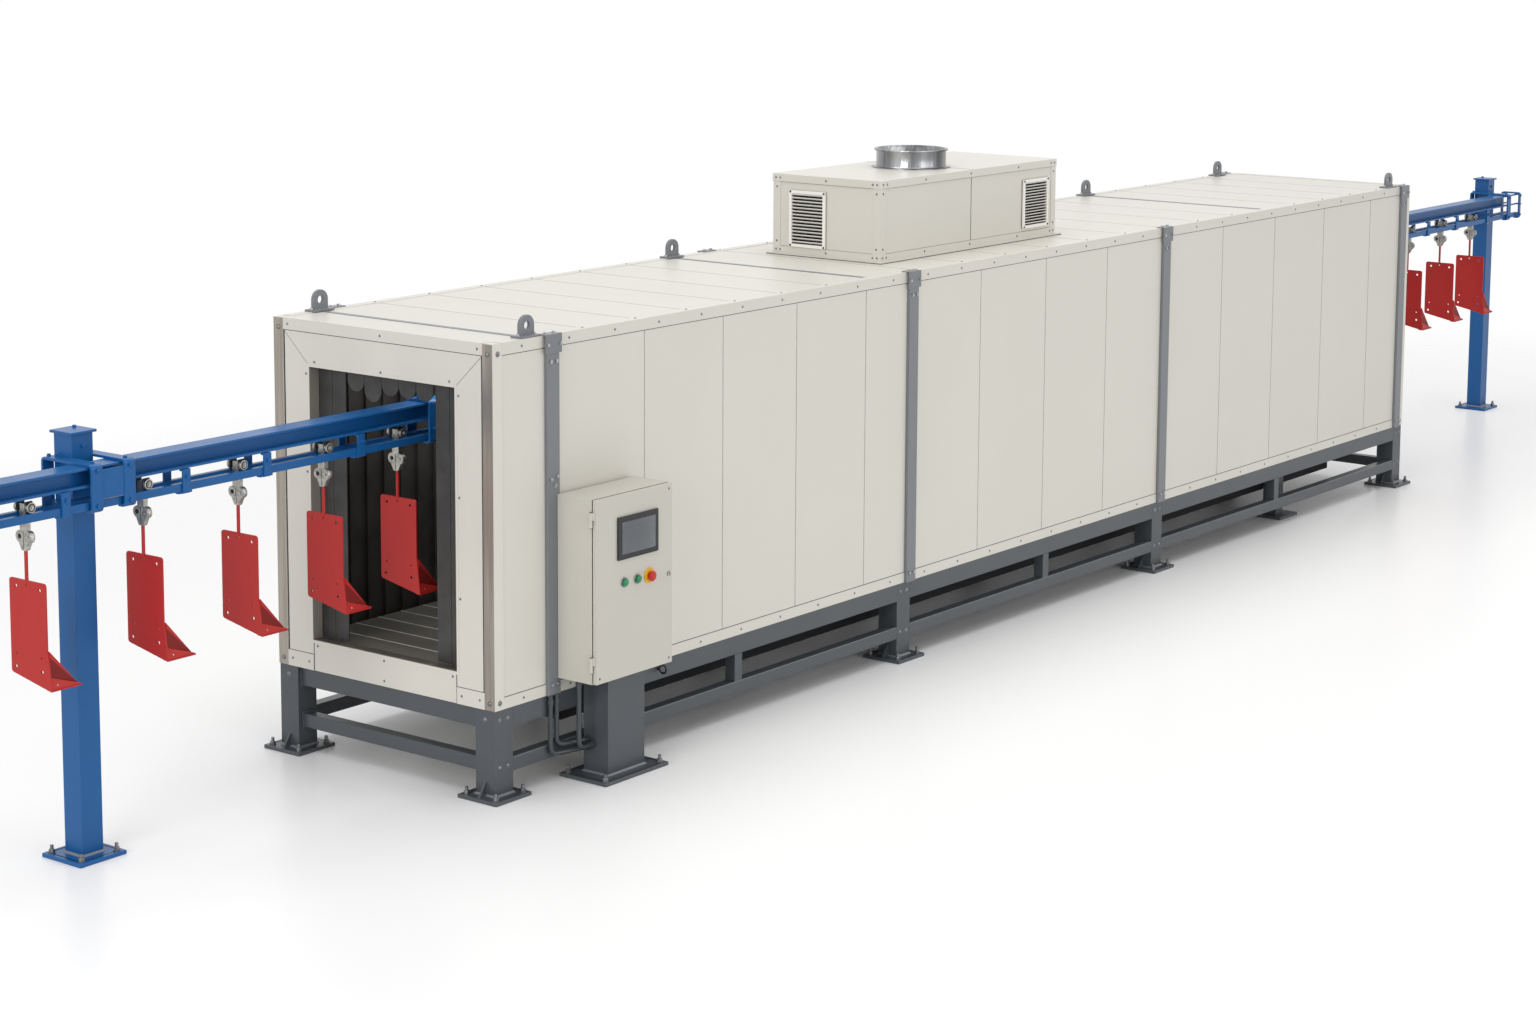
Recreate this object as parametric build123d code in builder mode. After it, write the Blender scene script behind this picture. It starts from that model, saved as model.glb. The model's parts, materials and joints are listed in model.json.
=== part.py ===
from build123d import *
import os

# Conveyor curing oven: an insulated tunnel on a welded steel base, with an overhead
# carrier line running through it. X runs along the line, the operator side faces -Y,
# Z is up. The origin is on the ground, on the tunnel's centre line, midway between the
# two entry feet. All sizes are millimetres.

os.makedirs("parts", exist_ok=True)

# Tunnel, outside sizes
tunnel_length = 7780
tunnel_width = 1160
tunnel_height = 1400
base_height = 350
roof_z = base_height + tunnel_height
half_width = tunnel_width / 2
wall_thickness = 80
roof_thickness = 45
floor_thickness = 45
seam_gap = 1.5
seat_gap = 0.3

# Openings at both ends of the tunnel
opening_width = 774
opening_bottom = 475
opening_top = 1569
portal_depth = 50
angle_leg = 50
angle_thickness = 3

# Base frame
foot_plate_size = 200
foot_plate_thickness = 15
anchor_spacing = 150
anchor_hole_radius = 9
leg_size = 100
entry_x = -leg_size / 2
exit_x = entry_x + tunnel_length
leg_wall = 5
gusset_length = 40
gusset_height = 60
gusset_thickness = 8
side_beam_width = 60
side_beam_height = 80
lower_rail_width = 50
lower_rail_height = 55
lower_rail_z = 98
tube_wall = 4
second_leg_x = 2650
third_leg_x = 4910
leg_stations = [0, second_leg_x, third_leg_x, exit_x - leg_size / 2]
stub_post_stations = [1445, 3850, 6200]
pan_foot_x = 6470
pan_foot_size = 80
leg_y = half_width - leg_size / 2
side_beam_y = half_width - side_beam_width / 2
lower_rail_y = half_width - lower_rail_width / 2
side_beam_z = base_height - side_beam_height

# Belly duct under the floor
duct_width = 760
duct_height = 120
duct_sheet = 3
duct_start_x = 550
duct_end_x = exit_x - 530

# Wall straps and lifting lugs
strap_width = 70
strap_depth = 14
strap_sheet = 4
strap_stations = [273, 2685, 4925, exit_x - 88]
cap_width = 92
cap_height = 70
cap_depth = 40
cap_sheet = 4

# Lifting lugs
lug_end_inset = 218
lug_width = 80
lug_height = 85
lug_thickness = 15
lug_hole_radius = 16
lug_foot_width = 110
lug_foot_depth = 58
lug_foot_thickness = 8

# Wall panel joints, bay by bay: the width of the first panel and the pitch of the rest
bay_panels = [(559, 502), (560, 560), (600, 570)]
narrowest_panel = 150
trim_leg = 45
trim_sheet = 2

# Roof sections: the joints between them and the panel width in each
roof_joints = [entry_x + lug_end_inset, 2392, 6018]
roof_panel_widths = [318, 363, 333]
joint_strip_width = 24

# Linings, curtains and sheet trims of the openings
lining_sheet = 2
lining_rib_width = 14
lining_rib_depth = 14
lining_pitch = 98
lining_top_z = 1640
lining_end_gap = 12
deck_top_z = 465
deck_thickness = 14
deck_width = 960
deck_pitch = 130
deck_groove = 4
deck_groove_depth = 10
deck_bearer_width = 40
deck_bearer_y = 400
strip_sheet = 4
strip_bottom_z = opening_bottom + 5
strip_top_z = 1650
side_strip_inner_y = 240
side_strip_count = 2
strip_gap = 2
flap_width = 90
flap_pitch = 92
flap_clearance = 41
long_flap_clearance = 9
frame_lip_width = 12
frame_lip_sheet = 2
jamb_plate_height = 65

# Fan housing on the roof
fan_x = 2834
fan_length = 1484
fan_width = 600
fan_height = 338
fan_lid_height = 36
fan_lid_overhang = 6
fan_sheet = 4
fan_flange_height = 8
fan_flange_overhang = 25
spigot_x = fan_x + 676
spigot_radius = 165
spigot_sheet = 3
spigot_height = 88
spigot_rim_radius = 175
spigot_rim_height = 8
end_louvre_width = 205
end_louvre_height = 262
end_louvre_y = 103
side_louvre_width = 225
side_louvre_height = 236
side_louvre_x = fan_x + fan_length - 186
louvre_rise = 172
louvre_z = roof_z + louvre_rise
louvre_frame = 14
louvre_depth = 12
louvre_blades = 15
louvre_blade_slope = 0.55
louvre_blade_sheet = 2
fan_angle_leg = 38
fan_angle_sheet = 3
fan_band_height = 30

# Carrier line
line_start_x = -1950
line_end_x = 10540
track_top = 1446
track_depth = 70
track_width = 92
track_flange = 9
track_web = 8
track_bottom = track_top - track_depth
rail_drop = 52
rail_top = track_bottom - rail_drop
rail_height = 29
rail_bottom = rail_top - rail_height
rail_width = 25
slot_width = 44
post_size = 95
post_wall = 5
post_rise = 89
post_cap_size = 116
post_cap_thickness = 10
post_plate_size = 210
post_plate_thickness = 15
post_anchor_spacing = 160
entry_post_x = -1420
exit_post_x = 10430
carrier_clearance = 8
carrier_stations = [-1755, -1240, -790, -360, 35, 8981, 9448, 9901]
hanger_stations = [-1620, -1080, -690, -210, 7900, 9160, 9580, 10050]
hanger_length = 36
hanger_foot_length = 62
hanger_sheet = 8
hanger_corner = 6
hanger_lip_gap = 4
tunnel_yoke_stations = [175, 1430, 2685, 3805, 4925, 6284, exit_x - 225]
yoke_bar = 50
yoke_sheet = 10
yoke_corner = 17
link_plate_low = 35
link_plate_high = 12
link_plate_sheet = 6
end_frame_depth = 25
end_bar = 12

# Trolleys and work carriers
wheel_radius = 19
wheel_width = 12
wheel_y = 31
hub_radius = 9
hub_proud = 2
axle_radius = 6
axle_clearance = 0.1
housing_rise = 12
neck_length = 20
neck_width = 34
lobe_radius = 21
lobe_y = 20
lobe_length = 18
lobe_hole_radius = 5
lobe_hole_depth = 3
lobe_z = rail_bottom - 55
shoulder_z = lobe_z + lobe_radius
stem_bottom = lobe_z - 48
stem_half_width = 11
boss_radius = 5
boss_rise = 9
rod_radius = 6.5
rod_embed = 10
plate_far_y = 90
plate_near_y = -100
plate_top = stem_bottom - 104
plate_far_bottom = plate_top - 331
plate_toe_y = -118
plate_toe_z = plate_top - 373
plate_bend_z = plate_top - 228
plate_sheet = 6
toe_length = 125
toe_root = 12
toe_edge = 2
plate_corner = 12
plate_hole_radius = 6.5
plate_holes = [(56, plate_top - 26), (-68, plate_top - 26), (66, plate_top - 310), (-72, plate_top - 310)]
small_hole_radius = 4
small_holes = [(60, plate_top - 262), (-70, plate_top - 262), (0, plate_top - 17)]
toe_hole_radius = 4.5
toe_hole_xs = [45, 95]

# Control cabinet and its pedestal
cabinet_x = 292
cabinet_width = 458
cabinet_z = 413
cabinet_height = 721
cabinet_depth = 172
cabinet_sheet = 2
cabinet_wall_gap = 15
door_thickness = 18
door_gap = 3
door_margin = 2
cabinet_rail_height = 40
cabinet_rail_inset = 30
cabinet_rail_drop = 120
pedestal_width = 220
pedestal_depth = 125
pedestal_x = 537
pedestal_setback = 12
pedestal_plate_width = 380
pedestal_plate_depth = 240
pedestal_plate_thickness = 15
pedestal_anchor_x = 330
pedestal_anchor_y = 190
hinge_radius = 7
hinge_length = 60
hinge_drop = 78
hinge_offset = 1
hinge_end_gap = 1
body_leaf_depth = 14
door_leaf_depth = 12
door_leaf_inset = 3
lock_inset = 22
lock_radius = 9
lock_proud = 6
back_plate_width = 400
back_plate_height = 640
back_plate_sheet = 3
back_plate_offset = 20
standoff_radius = 6
standoff_inset = 25
screen_width = 241
screen_height = 168
screen_x = 535
screen_z = 963
screen_bezel = 9
button_z = 788
green_button_xs = [457, 535]
stop_x = 606
bezel_radius = 20
bezel_inner = 14.5
bezel_height = 5
button_radius = 14
button_proud = 7
button_tail = 4
collar_radius = 30
collar_height = 6
stop_radius = 20
stop_stem_radius = 11
stop_clearance = 0.5
stop_lift = 6
stop_flare = 3
stop_rim = 7
stop_crown = 4
stop_dome = 2
stop_chamfer = 5

# Conduits from the wall strap and the cabinet to the pedestal
conduit_radius = 10
conduit_bend = 30
collar_step = 3
collar_length = 22
collar_drop = 14
gland_length = 16
conduit_y = -half_width - 13.5
conduit_first_x = 250
conduit_pitch = 34
conduit_low_z = 118
conduit_rise = 30
conduit_entry_y = -634
drop_x = 340
drop_y = -660
drop_low_z = 133


def column(places, size, wall, height):
    """Square hollow posts, added where the open builder stands."""
    with Locations(*places):
        Box(size, size, height, align=(Align.CENTER, Align.CENTER, Align.MIN))
        Box(size - 2 * wall, size - 2 * wall, height, align=(Align.CENTER, Align.CENTER, Align.MIN),
            mode=Mode.SUBTRACT)


def bar_x(x0, x1, y, z, width, height):
    """A bar along X between two stations, centred on y, standing on z."""
    with Locations((x0, y, z)):
        Box(x1 - x0, width, height, align=(Align.MIN, Align.CENTER, Align.MIN))


def tube_x(x0, x1, y, z, width, height, wall):
    """A rectangular hollow section along X, open at its butted ends."""
    with Locations((x0, y, z)):
        Box(x1 - x0, width, height, align=(Align.MIN, Align.CENTER, Align.MIN))
    with Locations((x0, y, z + wall)):
        Box(x1 - x0, width - 2 * wall, height - 2 * wall, align=(Align.MIN, Align.CENTER, Align.MIN),
            mode=Mode.SUBTRACT)


def tube_y(x, y0, y1, z, width, height, wall):
    """A rectangular hollow section along Y, open at its butted ends."""
    with Locations((x, y0, z)):
        Box(width, y1 - y0, height, align=(Align.CENTER, Align.MIN, Align.MIN))
    with Locations((x, y0, z + wall)):
        Box(width - 2 * wall, y1 - y0, height - 2 * wall, align=(Align.CENTER, Align.MIN, Align.MIN),
            mode=Mode.SUBTRACT)


def save(part, name):
    part.label = name
    export_step(part, f"parts/{name}.step")


# Legs with their foot plates and gussets
leg_places = [(x, side * leg_y) for x in leg_stations for side in (-1, 1)]
with BuildPart() as base_legs:
    with BuildSketch():
        with Locations(*leg_places):
            Rectangle(foot_plate_size, foot_plate_size)
        with Locations(*leg_places):
            with GridLocations(anchor_spacing, anchor_spacing, 2, 2):
                Circle(anchor_hole_radius, mode=Mode.SUBTRACT)
    extrude(amount=foot_plate_thickness)
    column([(x, y, foot_plate_thickness) for x, y in leg_places], leg_size, leg_wall,
           base_height - foot_plate_thickness)
    for x, y in leg_places:
        with BuildSketch(Plane(origin=(x, y, foot_plate_thickness), x_dir=(1, 0, 0), z_dir=(0, -1, 0))):
            with BuildLine():
                Polyline(
                    (leg_size / 2, 0),
                    (leg_size / 2 + gusset_length, 0),
                    (leg_size / 2, gusset_height),
                    close=True,
                )
            make_face()
            mirror(about=Plane.YZ)
        extrude(amount=gusset_thickness / 2, both=True)
save(base_legs.part, "base_legs")

# Long beams under the tunnel walls, butted between the legs
bays = [(leg_stations[i] + leg_size / 2, leg_stations[i + 1] - leg_size / 2) for i in range(3)]
with BuildPart() as side_beams:
    for x0, x1 in bays:
        for side in (-1, 1):
            tube_x(x0, x1, side * side_beam_y, side_beam_z, side_beam_width, side_beam_height, tube_wall)
save(side_beams.part, "side_beams")

with BuildPart() as lower_rails:
    for x0, x1 in bays:
        for side in (-1, 1):
            tube_x(x0, x1, side * lower_rail_y, lower_rail_z, lower_rail_width, lower_rail_height, tube_wall)
save(lower_rails.part, "lower_rails")

with BuildPart() as stub_posts:
    stub_places = [(x, side * lower_rail_y, lower_rail_z + lower_rail_height)
                   for x in stub_post_stations for side in (-1, 1)]
    column(stub_places, lower_rail_width, tube_wall, side_beam_z - lower_rail_z - lower_rail_height)
save(stub_posts.part, "stub_posts")

# Cross beams between the legs, and between the long beams at mid bay
with BuildPart() as cross_beams:
    inner_leg_y = half_width - leg_size
    inner_beam_y = half_width - side_beam_width
    for x in leg_stations:
        tube_y(x, -inner_leg_y, inner_leg_y, side_beam_z, side_beam_width, side_beam_height, tube_wall)
    for x in stub_post_stations[:2] + [pan_foot_x]:
        tube_y(x, -inner_beam_y, inner_beam_y, side_beam_z, side_beam_width, side_beam_height, tube_wall)
save(cross_beams.part, "cross_beams")

with BuildPart() as end_rails:
    for x in (leg_stations[0], leg_stations[-1]):
        tube_y(x, -inner_leg_y, inner_leg_y, lower_rail_z, lower_rail_width, lower_rail_height, tube_wall)
save(end_rails.part, "end_rails")

# Belly duct: a folded tray hung under the cross beams
with BuildPart() as belly_duct:
    with Locations((duct_start_x, 0, side_beam_z)):
        Box(duct_end_x - duct_start_x, duct_width, duct_height, align=(Align.MIN, Align.CENTER, Align.MAX))
    offset(amount=-duct_sheet, openings=belly_duct.faces().sort_by(Axis.Z)[-1])
save(belly_duct.part, "belly_duct")

pan_foot_y = duct_width / 2 + pan_foot_size / 2 + seat_gap
with BuildPart() as pan_feet:
    with BuildSketch():
        with Locations((pan_foot_x, -pan_foot_y), (pan_foot_x, pan_foot_y)):
            Rectangle(foot_plate_size, foot_plate_size)
    extrude(amount=foot_plate_thickness)
    column([(pan_foot_x, side * pan_foot_y, foot_plate_thickness) for side in (-1, 1)], pan_foot_size,
           leg_wall, side_beam_z - foot_plate_thickness)
save(pan_feet.part, "pan_feet")

# Floor, wall and roof panels
seams = []
for start, stop, (first, pitch) in zip(strap_stations, strap_stations[1:], bay_panels):
    seams.append(start)
    seam = start + first
    while seam < stop - narrowest_panel:
        seams.append(seam)
        seam += pitch
seams.append(strap_stations[-1])
panel_edges = [entry_x + portal_depth] + seams + [exit_x - portal_depth]
panel_spans = [(a + seam_gap / 2, b - seam_gap / 2) for a, b in zip(panel_edges, panel_edges[1:])]

for side, name in ((-1, "near_wall_panels"), (1, "far_wall_panels")):
    with BuildPart() as wall_panels:
        for x0, x1 in panel_spans:
            bar_x(x0, x1, side * (half_width - wall_thickness / 2), base_height + floor_thickness,
                  wall_thickness, tunnel_height - floor_thickness - roof_thickness)
    save(wall_panels.part, name)

with BuildPart() as floor_panels:
    bar_x(entry_x + portal_depth, exit_x - portal_depth, 0, base_height, tunnel_width, floor_thickness)
save(floor_panels.part, "floor_panels")

roof_bounds = roof_joints + [exit_x - portal_depth]
roof_edges = [entry_x + portal_depth]
for start, stop, width in zip(roof_bounds, roof_bounds[1:], roof_panel_widths):
    count = max(1, round((stop - start) / width))
    roof_edges += [start + (stop - start) * i / count for i in range(count)]
roof_edges.append(exit_x - portal_depth)
with BuildPart() as roof_panels:
    for x0, x1 in zip(roof_edges, roof_edges[1:]):
        bar_x(x0 + seam_gap / 2, x1 - seam_gap / 2, 0, roof_z - roof_thickness, tunnel_width, roof_thickness)
save(roof_panels.part, "roof_panels")

# Cover strips over the joints between roof sections
with BuildPart() as roof_joint_strips:
    for x in roof_joints:
        with Locations((x, 0, roof_z)):
            Box(joint_strip_width, 2 * (half_width - trim_leg), trim_sheet,
                align=(Align.CENTER, Align.CENTER, Align.MIN))
save(roof_joint_strips.part, "roof_joint_strips")

# Mitred end portals
half_opening = opening_width / 2
for end, x in (("entry", entry_x), ("exit", exit_x - portal_depth)):
    face = Plane(origin=(x, 0, 0), x_dir=(0, 1, 0), z_dir=(1, 0, 0))
    with BuildPart() as header:
        with BuildSketch(face):
            with BuildLine():
                Polyline(
                    (-half_width, roof_z),
                    (half_width, roof_z),
                    (half_opening, opening_top),
                    (-half_opening, opening_top),
                    close=True,
                )
            make_face()
        extrude(amount=portal_depth)
    save(header.part, f"{end}_header")
    with BuildPart() as jambs:
        with BuildSketch(face):
            with BuildLine():
                Polyline(
                    (half_opening, base_height),
                    (half_width, base_height),
                    (half_width, roof_z),
                    (half_opening, opening_top),
                    close=True,
                )
            make_face()
            mirror(about=Plane.YZ)
        extrude(amount=portal_depth)
    save(jambs.part, f"{end}_jambs")
    with BuildPart() as sill:
        with Locations((x, 0, base_height)):
            Box(portal_depth, opening_width, opening_bottom - base_height,
                align=(Align.MIN, Align.CENTER, Align.MIN))
    save(sill.part, f"{end}_sill")

# Corner angles on the four upright edges
with BuildPart() as corner_angles:
    with BuildSketch(Plane.XY.offset(base_height)):
        for x, turn in ((entry_x, 1), (exit_x, -1)):
            for side in (-1, 1):
                with BuildLine():
                    out_x = x - turn * angle_thickness
                    out_y = side * (half_width + angle_thickness)
                    Polyline(
                        (out_x, out_y),
                        (x + turn * angle_leg, out_y),
                        (x + turn * angle_leg, side * half_width),
                        (x, side * half_width),
                        (x, side * (half_width - angle_leg)),
                        (out_x, side * (half_width - angle_leg)),
                        close=True,
                    )
                make_face()
    extrude(amount=tunnel_height)
save(corner_angles.part, "corner_angles")

# Folded trims along the roof edges and the lower wall edges, between the corner angles
trim_x0 = entry_x + angle_leg + seat_gap
trim_x1 = exit_x - angle_leg - seat_gap
with BuildPart() as edge_trims:
    for side in (-1, 1):
        with BuildSketch(Plane(origin=(trim_x0, 0, 0), x_dir=(0, 1, 0), z_dir=(1, 0, 0))):
            with BuildLine():
                Polyline(
                    (side * (half_width + trim_sheet), roof_z + trim_sheet),
                    (side * (half_width - trim_leg), roof_z + trim_sheet),
                    (side * (half_width - trim_leg), roof_z),
                    (side * half_width, roof_z),
                    (side * half_width, roof_z - trim_leg),
                    (side * (half_width + trim_sheet), roof_z - trim_leg),
                    close=True,
                )
            make_face()
            with Locations((side * (half_width + trim_sheet / 2), base_height + trim_leg / 2)):
                Rectangle(trim_sheet, trim_leg)
        extrude(amount=trim_x1 - trim_x0)
    for x, turn in ((entry_x, 1), (exit_x, -1)):
        with BuildSketch(Plane(origin=(x, 0, 0), x_dir=(turn, 0, 0), z_dir=(0, -turn, 0))):
            with BuildLine():
                Polyline(
                    (-trim_sheet, roof_z + trim_sheet),
                    (trim_leg, roof_z + trim_sheet),
                    (trim_leg, roof_z),
                    (0, roof_z),
                    (0, roof_z - trim_leg),
                    (-trim_sheet, roof_z - trim_leg),
                    close=True,
                )
            make_face()
        extrude(amount=half_width - angle_leg - seat_gap, both=True)
save(edge_trims.part, "edge_trims")

# Sheet lip round each opening and the plates at the jambs' feet
jamb_plate_y0 = half_opening + seat_gap
jamb_plate_y1 = half_width - angle_leg - seat_gap
with BuildPart() as portal_trims:
    for x, turn in ((entry_x, -1), (exit_x, 1)):
        with BuildSketch(Plane(origin=(x, 0, (opening_top + opening_bottom) / 2), x_dir=(0, 1, 0),
                               z_dir=(turn, 0, 0))):
            Rectangle(opening_width + 2 * frame_lip_width,
                      opening_top - opening_bottom + 2 * frame_lip_width)
            Rectangle(opening_width, opening_top - opening_bottom, mode=Mode.SUBTRACT)
        extrude(amount=frame_lip_sheet)
    for x, align_x in ((entry_x, Align.MAX), (exit_x, Align.MIN)):
        for side in (-1, 1):
            with Locations((x, side * (jamb_plate_y0 + jamb_plate_y1) / 2, base_height)):
                Box(frame_lip_sheet, jamb_plate_y1 - jamb_plate_y0, jamb_plate_height,
                    align=(align_x, Align.CENTER, Align.MIN))
save(portal_trims.part, "portal_trims")

# Ribbed lining sheets on the side walls, and the grooved deck between them
inner_y = half_width - wall_thickness
floor_top_z = base_height + floor_thickness
lining_x0 = entry_x + portal_depth + lining_end_gap
lining_x1 = exit_x - portal_depth - lining_end_gap
rib_count = int((lining_x1 - lining_x0) // lining_pitch)
rib_start_x = (lining_x0 + lining_x1 - (rib_count - 1) * lining_pitch) / 2
sheet_y = inner_y - lining_sheet
rib_y = sheet_y - lining_rib_depth
with BuildPart() as side_linings:
    with BuildSketch(Plane.XY.offset(floor_top_z)):
        with BuildLine():
            ribbed = [(lining_x0, inner_y), (lining_x0, sheet_y)]
            for i in range(rib_count):
                rib_x0 = rib_start_x + i * lining_pitch - lining_rib_width / 2
                rib_x1 = rib_x0 + lining_rib_width
                ribbed += [(rib_x0, sheet_y), (rib_x0, rib_y), (rib_x1, rib_y), (rib_x1, sheet_y)]
            ribbed += [(lining_x1, sheet_y), (lining_x1, inner_y)]
            Polyline(*ribbed, close=True)
        make_face()
        mirror(about=Plane.XZ)
    extrude(amount=lining_top_z - floor_top_z)
save(side_linings.part, "side_linings")

with BuildPart() as floor_lining:
    with BuildSketch(Plane(origin=(0, 0, 0), x_dir=(1, 0, 0), z_dir=(0, -1, 0))):
        with BuildLine():
            deck = [(lining_x0, deck_top_z - deck_thickness), (lining_x0, deck_top_z)]
            groove_x = lining_x0 + deck_pitch
            while groove_x < lining_x1 - deck_groove:
                deck += [(groove_x, deck_top_z), (groove_x, deck_top_z - deck_groove_depth),
                         (groove_x + deck_groove, deck_top_z - deck_groove_depth),
                         (groove_x + deck_groove, deck_top_z)]
                groove_x += deck_pitch
            deck += [(lining_x1, deck_top_z), (lining_x1, deck_top_z - deck_thickness)]
            Polyline(*deck, close=True)
        make_face()
    extrude(amount=deck_width / 2, both=True)
    for side in (-1, 1):
        bar_x(lining_x0, lining_x1, side * deck_bearer_y, floor_top_z, deck_bearer_width,
              deck_top_z - deck_thickness - floor_top_z)
save(floor_lining.part, "floor_lining")

# Curtains hung on the back of the headers: long strips at the sides, short flaps over the line
side_strip_width = (half_opening - side_strip_inner_y) / side_strip_count - strip_gap
flap_z = track_top + flap_clearance
flap_bottoms = [flap_z, flap_z, flap_z, track_top + long_flap_clearance, flap_z]
with BuildPart() as end_curtains:
    for x in (entry_x + portal_depth, exit_x - portal_depth - strip_sheet):
        with BuildSketch(Plane(origin=(x, 0, 0), x_dir=(0, 1, 0), z_dir=(1, 0, 0))):
            for side in (-1, 1):
                for i in range(side_strip_count):
                    strip_y = side_strip_inner_y + (i + 0.5) * (side_strip_width + strip_gap)
                    with Locations((side * strip_y, (strip_top_z + strip_bottom_z) / 2)):
                        Rectangle(side_strip_width, strip_top_z - strip_bottom_z)
            for i, bottom in enumerate(flap_bottoms):
                flap_y = (i - (len(flap_bottoms) - 1) / 2) * flap_pitch
                with Locations((flap_y, (strip_top_z + bottom + flap_width / 2) / 2)):
                    Rectangle(flap_width, strip_top_z - bottom - flap_width / 2)
                with Locations((flap_y, bottom + flap_width / 2)):
                    Circle(flap_width / 2)
        extrude(amount=strip_sheet)
save(end_curtains.part, "end_curtains")

# Channel straps down the walls, set over the trims
strap_face = half_width + trim_sheet
with BuildPart() as wall_straps:
    with BuildSketch(Plane.XY.offset(base_height)):
        for x in strap_stations:
            for side in (-1, 1):
                with Locations((x, side * (strap_face + strap_depth / 2))):
                    Rectangle(strap_width, strap_depth)
                with Locations((x, side * (strap_face + (strap_depth - strap_sheet) / 2))):
                    Rectangle(strap_width - 2 * strap_sheet, strap_depth - strap_sheet, mode=Mode.SUBTRACT)
    extrude(amount=tunnel_height + trim_sheet)
save(wall_straps.part, "wall_straps")

# Angle caps over the strap heads
cap_face = strap_face + strap_depth
cap_z = roof_z + trim_sheet
with BuildPart() as strap_caps:
    for x in strap_stations:
        for side in (-1, 1):
            with BuildSketch(Plane(origin=(x, 0, 0), x_dir=(0, 1, 0), z_dir=(1, 0, 0))):
                with BuildLine():
                    Polyline(
                        (side * cap_face, cap_z - cap_height),
                        (side * (cap_face + cap_sheet), cap_z - cap_height),
                        (side * (cap_face + cap_sheet), cap_z + cap_sheet),
                        (side * (cap_face - cap_depth), cap_z + cap_sheet),
                        (side * (cap_face - cap_depth), cap_z),
                        (side * cap_face, cap_z),
                        close=True,
                    )
                make_face()
            extrude(amount=cap_width / 2, both=True)
save(strap_caps.part, "strap_caps")

# Lifting lugs, seated on the roof trims beside the section joints
lug_z = roof_z + trim_sheet
lug_y = half_width - lug_foot_depth / 2
lug_places = [(roof_joints[0], -lug_y), (roof_joints[0], lug_y), (roof_joints[1], lug_y),
              (roof_joints[2], lug_y), (exit_x - lug_end_inset, -lug_y), (exit_x - lug_end_inset, lug_y)]
with BuildPart() as lifting_lugs:
    for x, y in lug_places:
        with Locations((x, y, lug_z)):
            Box(lug_foot_width, lug_foot_depth, lug_foot_thickness,
                align=(Align.CENTER, Align.CENTER, Align.MIN))
        with BuildSketch(Plane(origin=(x, y, lug_z), x_dir=(1, 0, 0), z_dir=(0, -1, 0))):
            with Locations((0, (lug_height - lug_width / 2) / 2)):
                Rectangle(lug_width, lug_height - lug_width / 2)
            with Locations((0, lug_height - lug_width / 2)):
                Circle(lug_width / 2)
                Circle(lug_hole_radius, mode=Mode.SUBTRACT)
        extrude(amount=lug_thickness / 2, both=True)
save(lifting_lugs.part, "lifting_lugs")

# Fan housing, its lid, base flange, louvres and exhaust spigot
fan_centre_x = fan_x + fan_length / 2
fan_base_z = roof_z + seat_gap
fan_body_z = fan_base_z + fan_flange_height
fan_top_z = roof_z + fan_height
with BuildPart() as fan_flange:
    with Locations((fan_centre_x, 0, fan_base_z)):
        Box(fan_length + 2 * fan_flange_overhang, fan_width + 2 * fan_flange_overhang, fan_flange_height,
            align=(Align.CENTER, Align.CENTER, Align.MIN))
        Box(fan_length - 2 * fan_flange_overhang, fan_width - 2 * fan_flange_overhang, fan_flange_height,
            align=(Align.CENTER, Align.CENTER, Align.MIN), mode=Mode.SUBTRACT)
save(fan_flange.part, "fan_flange")

with BuildPart() as fan_housing:
    with Locations((fan_centre_x, 0, fan_body_z)):
        Box(fan_length, fan_width, fan_top_z - fan_body_z, align=(Align.CENTER, Align.CENTER, Align.MIN))
        Box(fan_length - 2 * fan_sheet, fan_width - 2 * fan_sheet, fan_top_z - fan_body_z,
            align=(Align.CENTER, Align.CENTER, Align.MIN), mode=Mode.SUBTRACT)
    with Locations((fan_x, end_louvre_y, louvre_z)):
        Box(4 * fan_sheet, end_louvre_width - 2 * louvre_frame, end_louvre_height - 2 * louvre_frame,
            mode=Mode.SUBTRACT)
    with Locations((side_louvre_x, -fan_width / 2, louvre_z)):
        Box(side_louvre_width - 2 * louvre_frame, 4 * fan_sheet, side_louvre_height - 2 * louvre_frame,
            mode=Mode.SUBTRACT)
save(fan_housing.part, "fan_housing")

# Corner angles and the foot band on the outside of the housing
with BuildPart() as fan_frame:
    with Locations((fan_centre_x, 0, fan_body_z)):
        Box(fan_length + 2 * fan_angle_sheet, fan_width + 2 * fan_angle_sheet, fan_top_z - fan_body_z,
            align=(Align.CENTER, Align.CENTER, Align.MIN))
        Box(fan_length, fan_width, fan_top_z - fan_body_z, align=(Align.CENTER, Align.CENTER, Align.MIN),
            mode=Mode.SUBTRACT)
    with Locations((fan_centre_x, 0, fan_body_z + fan_band_height)):
        Box(fan_length - 2 * fan_angle_leg, fan_width + 4 * fan_angle_sheet, fan_height,
            align=(Align.CENTER, Align.CENTER, Align.MIN), mode=Mode.SUBTRACT)
        Box(fan_length + 4 * fan_angle_sheet, fan_width - 2 * fan_angle_leg, fan_height,
            align=(Align.CENTER, Align.CENTER, Align.MIN), mode=Mode.SUBTRACT)
save(fan_frame.part, "fan_frame")

with BuildPart() as fan_lid:
    with Locations((fan_centre_x, 0, fan_top_z)):
        Box(fan_length + 2 * fan_lid_overhang, fan_width + 2 * fan_lid_overhang, fan_lid_height,
            align=(Align.CENTER, Align.CENTER, Align.MIN))
    with Locations((spigot_x, 0, fan_top_z)):
        Cylinder(spigot_radius - spigot_sheet, fan_lid_height, align=(Align.CENTER, Align.CENTER, Align.MIN),
                 mode=Mode.SUBTRACT)
save(fan_lid.part, "fan_lid")

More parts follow.
